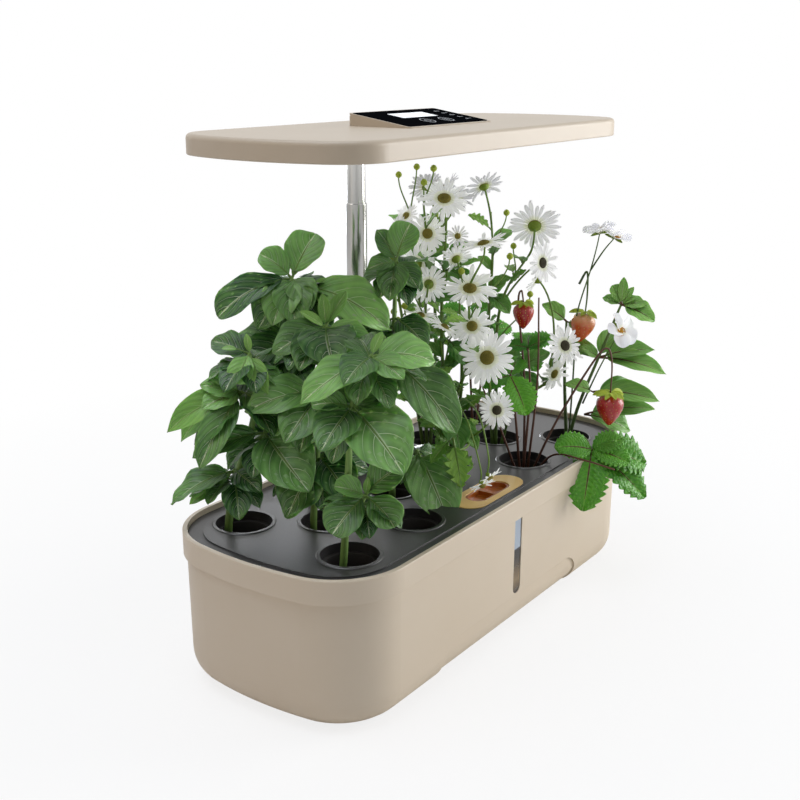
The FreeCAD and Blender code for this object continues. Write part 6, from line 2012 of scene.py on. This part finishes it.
def strawberries() -> list[StrawberryPlant]:
    """Gives the strawberry plants, with leaves, fruit and flowers where the photograph shows them."""
    fan = StrawberryPlant(
        "front_3",
        leaves=(
            Trifoliate(((-2, -10, 0), (-8, 40, 4), (-13, 70, 6)), (
                Leaf((12, -30, 8), 40, TOOTHED, 0.75), Leaf((-22, -8, 2), 40, TOOTHED, 0.3),
                Leaf((8, 14, -20), 40, TOOTHED, 0.4),
            )),
            Trifoliate(((0, -10, -3), (4, 50, -6), (2, 88, -10)), (
                Leaf((14, 6, 6), 40, TOOTHED, 0.2), Leaf((-16, 2, -4), 40, TOOTHED, 0.25),
                Leaf((2, 10, -18), 35, TOOTHED, 0.3),
            )),
        ),
        fruits=(
            Fruit(((4, -10, 1), (24, 34, 6), (50, 82, 8), (60, 92, 8), (64, 80, 8), (64, 56, 8)),
                  True, 11.0, 25.0),
            Fruit(((1, -10, -4), (0, 60, -10), (-6, 120, -14), (-4, 132, -14), (-2, 122, -14)),
                  True, 8.5, 20.0),
        ),
        sticks=(((3, -10, -2), (9, 60, -2), (8, 129, -2)), ((-3, -10, 3), (-20, 30, 8), (-34, 62, 10)),
                ((6, -10, 0), (22, 6, 6), (44, 8, 24), (62, 10, 50))),
    )
    hanging = StrawberryPlant(
        "front_4", woody=True,
        leaves=(
            Trifoliate(((-2, -10, 3), (0, 8, 20), (8, 14, 44), (12, 8, 57)), (
                Leaf((-30, 2, 6), 50, TOOTHED, 0.55, -10), Leaf((-9, -47, 12), 35, TOOTHED, 0.4, 0, 0.72),
                Leaf((25, 8, -2), 50, TOOTHED, 0.5), Leaf((28, -10, 8), 45, TOOTHED, 0.55),
                Leaf((44, -12, -14), 45, TOOTHED, 0.35), Leaf((42, -38, -4), 40, TOOTHED, 0.3, 0, 0.55),
            )),
        ),
        fruits=(
            Fruit(((6, 128, -4), (12, 138, -4), (13, 120, -4), (12, 104, -4)),
                  False, 10.5, 24.0, (-0.2, 0.1, 0.0)),
        ),
        blossoms=(
            Blossom(((2, -10, 0), (4, 60, 0), (4, 100, 0), (14, 140, 0), (18, 158, 0), (20, 170, 0)),
                    80, 72),
            Blossom(((14, 140, 0), (24, 156, 0), (32, 166, 0)), 300, 66),
            Blossom(((12, 30, 4), (24, 62, 8), (38, 92, 10)), 250, 28, 15.0),
        ),
        sprigs=(
            Whorl((24, 68, 0), (
                Leaf((46, 6, 0), 45, POINTED, 0.5), Leaf((54, -14, 6), 45, POINTED, 0.6, 0, 0.42),
                Leaf((-16, 8, 4), 40, OVATE, 0.65), Leaf((-34, 14, -10), 40, OVATE, 0.7, 0, 0.55),
                Leaf((14, 24, -10), 35, NARROW, 0.55),
            )),
            Whorl((20, 40, 4), (
                Leaf((54, -8, 4), 45, POINTED, 0.55, 0, 0.45), Leaf((-24, 6, 6), 40, OVATE, 0.7, 0, 0.6),
                Leaf((44, -4, -16), 45, NARROW, 0.2),
            )),
            Whorl((14, 20, 2), (
                Leaf((58, 4, 2), 50, POINTED, 0.5, 0, 0.42), Leaf((40, -14, -12), 45, NARROW, 0.4),
            )),
            Whorl((40, 112, 0), (
                Leaf((-6, 16, 0), 25, BLUNT, 0.7), Leaf((2, 22, 2), 20, SPRIG, 0.8),
                Leaf((10, 14, 2), 25, SPRIG, 0.75),
                Leaf((12, 6, 4), 35, SPRIG, 0.7), Leaf((20, 0, 2), 40, OVATE, 0.65),
                Leaf((26, -14, 4), 40, OVATE, 0.6),
                Leaf((-14, 6, -6), 35, OVATE, 0.7),
            )),
            Whorl((-2, 96, -10), (
                Leaf((-20, 14, 0), 35, OVATE, 0.75), Leaf((16, -10, 4), 35, OVATE, 0.5),
            )),
        ),
        sticks=(((0, -10, 0), (8, 24, 2), (24, 68, 0), (40, 112, 0)),
                ((2, -10, -3), (-2, 50, -8), (-2, 96, -10))),
    )
    back = StrawberryPlant(
        "rear_4",
        leaves=(
            Trifoliate(((0, -10, 2), (-4, 50, 4), (-6, 92, 4)), (
                Leaf((-24, 4, 6), 40, TOOTHED, 0.3), Leaf((20, 8, 2), 40, TOOTHED, 0.35),
                Leaf((0, -26, 14), 40, TOOTHED, 0.3),
            )),
            Trifoliate(((2, -10, -2), (8, 40, -12), (12, 70, -22)), (
                Leaf((-18, 8, -14), 40, TOOTHED, 0.4), Leaf((22, 6, -10), 40, TOOTHED, 0.45),
                Leaf((4, -8, -30), 40, TOOTHED, 0.35),
            )),
            Trifoliate(((3, -10, 0), (26, 40, -4), (44, 62, -8)), (
                Leaf((24, 6, 6), 40, TOOTHED, 0.4), Leaf((2, 12, -26), 40, TOOTHED, 0.45),
                Leaf((10, -22, 8), 40, TOOTHED, 0.35),
            )),
        ),
    )
    return [fan, hanging, back]


@dataclass
class Studio:
    """Pale floor, soft lamps, white surroundings and the camera."""

    floor_colour: str = "F1F0EE"
    floor_size: float = 6.0
    fill: float = 0.18
    white_from_to: Pair = (0.25, 0.7)
    white_share: Pair = (0.8, 1.0)
    aim: Triple = (0.0, 0.0, 0.18)

    def build(self) -> None:
        """Builds floor, surroundings, lamps and camera."""
        self.lay_floor()
        self.surround()
        self.lamp("key", (1.2, -0.95, 0.45), 0.9, 19.0)
        self.lamp("front", (-0.2, -2.4, 1.0), 1.2, 2.0)
        self.lamp("rim", (-1.9, 0.9, 0.8), 1.0, 4.5, "FFDDB8")
        self.lamp("back", (1.4, 1.4, 0.1), 0.5, 14.0, "F2F7FF")
        self.lamp("top", (-0.4, 0.3, 2.4), 2.0, 42.0, "ECF3FF")
        self.place_camera()
        bpy.context.scene.view_settings.view_transform = "Standard"

    def lay_floor(self) -> None:
        """Builds the floor, which keeps the shadow and shows as white."""
        mesh = bpy.data.meshes.new("floor")
        half = self.floor_size / 2
        corners = [(-half, -half, 0), (half, -half, 0), (half, half, 0), (-half, half, 0)]
        mesh.from_pydata(corners, [], [(0, 1, 2, 3)])
        floor = bpy.data.objects.new("floor", mesh)
        bpy.context.scene.collection.objects.link(floor)
        made = Surface(Finish("pale_painted_floor", self.floor_colour, 0.8))
        made.done(Normal=made.bump(made.noise(30.0), 0.05, 0.1))
        white = add_node(made.tree, "ShaderNodeEmission", {"Color": linear("FFFFFF"), "Strength": 1.0})
        seen_directly = add_node(made.tree, "ShaderNodeLightPath").outputs["Is Camera Ray"]
        distance = add_node(made.tree, "ShaderNodeVectorMath", {0: made.place}, operation="LENGTH")
        beyond = made.remap(distance.outputs["Value"], *self.white_from_to, *self.white_share)
        both = add_node(made.tree, "ShaderNodeMixShader", {
            0: made.math("MULTIPLY", seen_directly, beyond), 1: made.shader.outputs["BSDF"],
            2: white.outputs["Emission"]})
        fill_inputs(made.tree, made.output, {"Surface": both.outputs["Shader"]})
        mesh.materials.append(made.material)

    def surround(self) -> None:
        """Makes the surroundings: white where they are seen, dimmer where they light."""
        world = bpy.data.worlds.new("white_surroundings")
        world.use_nodes = True
        tree = world.node_tree
        tree.nodes.clear()
        ray = add_node(tree, "ShaderNodeLightPath").outputs
        shown = ray["Is Camera Ray"]
        for kind in ("Is Transmission Ray", "Is Glossy Ray"):
            shown = add_node(tree, "ShaderNodeMath", {0: shown, 1: ray[kind]},
                             operation="MAXIMUM").outputs[0]
        strength = add_node(tree, "ShaderNodeMapRange", {"Value": shown, "To Min": self.fill, "To Max": 1.0})
        light = add_node(tree, "ShaderNodeBackground", {
            "Color": linear("FFFFFF"), "Strength": strength.outputs["Result"]})
        add_node(tree, "ShaderNodeOutputWorld", {"Surface": light.outputs["Background"]})
        bpy.context.scene.world = world

    def lamp(self, name: str, place: Triple, size: float, power: float, colour: str = "FFFFFF") -> None:
        """Adds a soft square lamp that looks at the object.

        Args:
            name: its name.
            place: where it stands, in metres.
            size: the length of its side, in metres.
            power: its power in watts.
            colour: the colour of its light.
        """
        data = bpy.data.lights.new(name, "AREA")
        data.color = linear(colour)[:3]
        data.shape = "SQUARE"
        data.size = size
        data.energy = power
        made = bpy.data.objects.new(name, data)
        made.location = place
        made.rotation_euler = (Vector(self.aim) - Vector(place)).to_track_quat("-Z", "Y").to_euler()
        bpy.context.scene.collection.objects.link(made)

    def place_camera(self) -> None:
        """Adds the camera at the photograph's place."""
        data = bpy.data.cameras.new("camera")
        data.lens = VIEW_LENS
        data.sensor_width = SENSOR_WIDTH
        data.shift_y = VIEW_SHIFT
        made = bpy.data.objects.new("camera", data)
        axes = Matrix((RIGHT, UP, NEAR)).transposed().to_4x4()
        made.matrix_world = Matrix.Translation(VIEW_LOCATION) @ axes
        bpy.context.scene.collection.objects.link(made)
        bpy.context.scene.camera = made


def main() -> None:
    """Dresses the frame and builds every piece, in order."""
    logging.basicConfig(level=logging.INFO, format="%(name)s: %(message)s")
    for assembly in (Tank(), Deck(), Pole(), Lamp()):
        assembly.dress()
        if hasattr(assembly, "build"):
            assembly.build()
        LOG.info("%s dressed", type(assembly).__name__)
    for plant in basils() + daisies() + strawberries():
        plant.build()
    Studio().build()


if __name__ == "__main__":
    main()
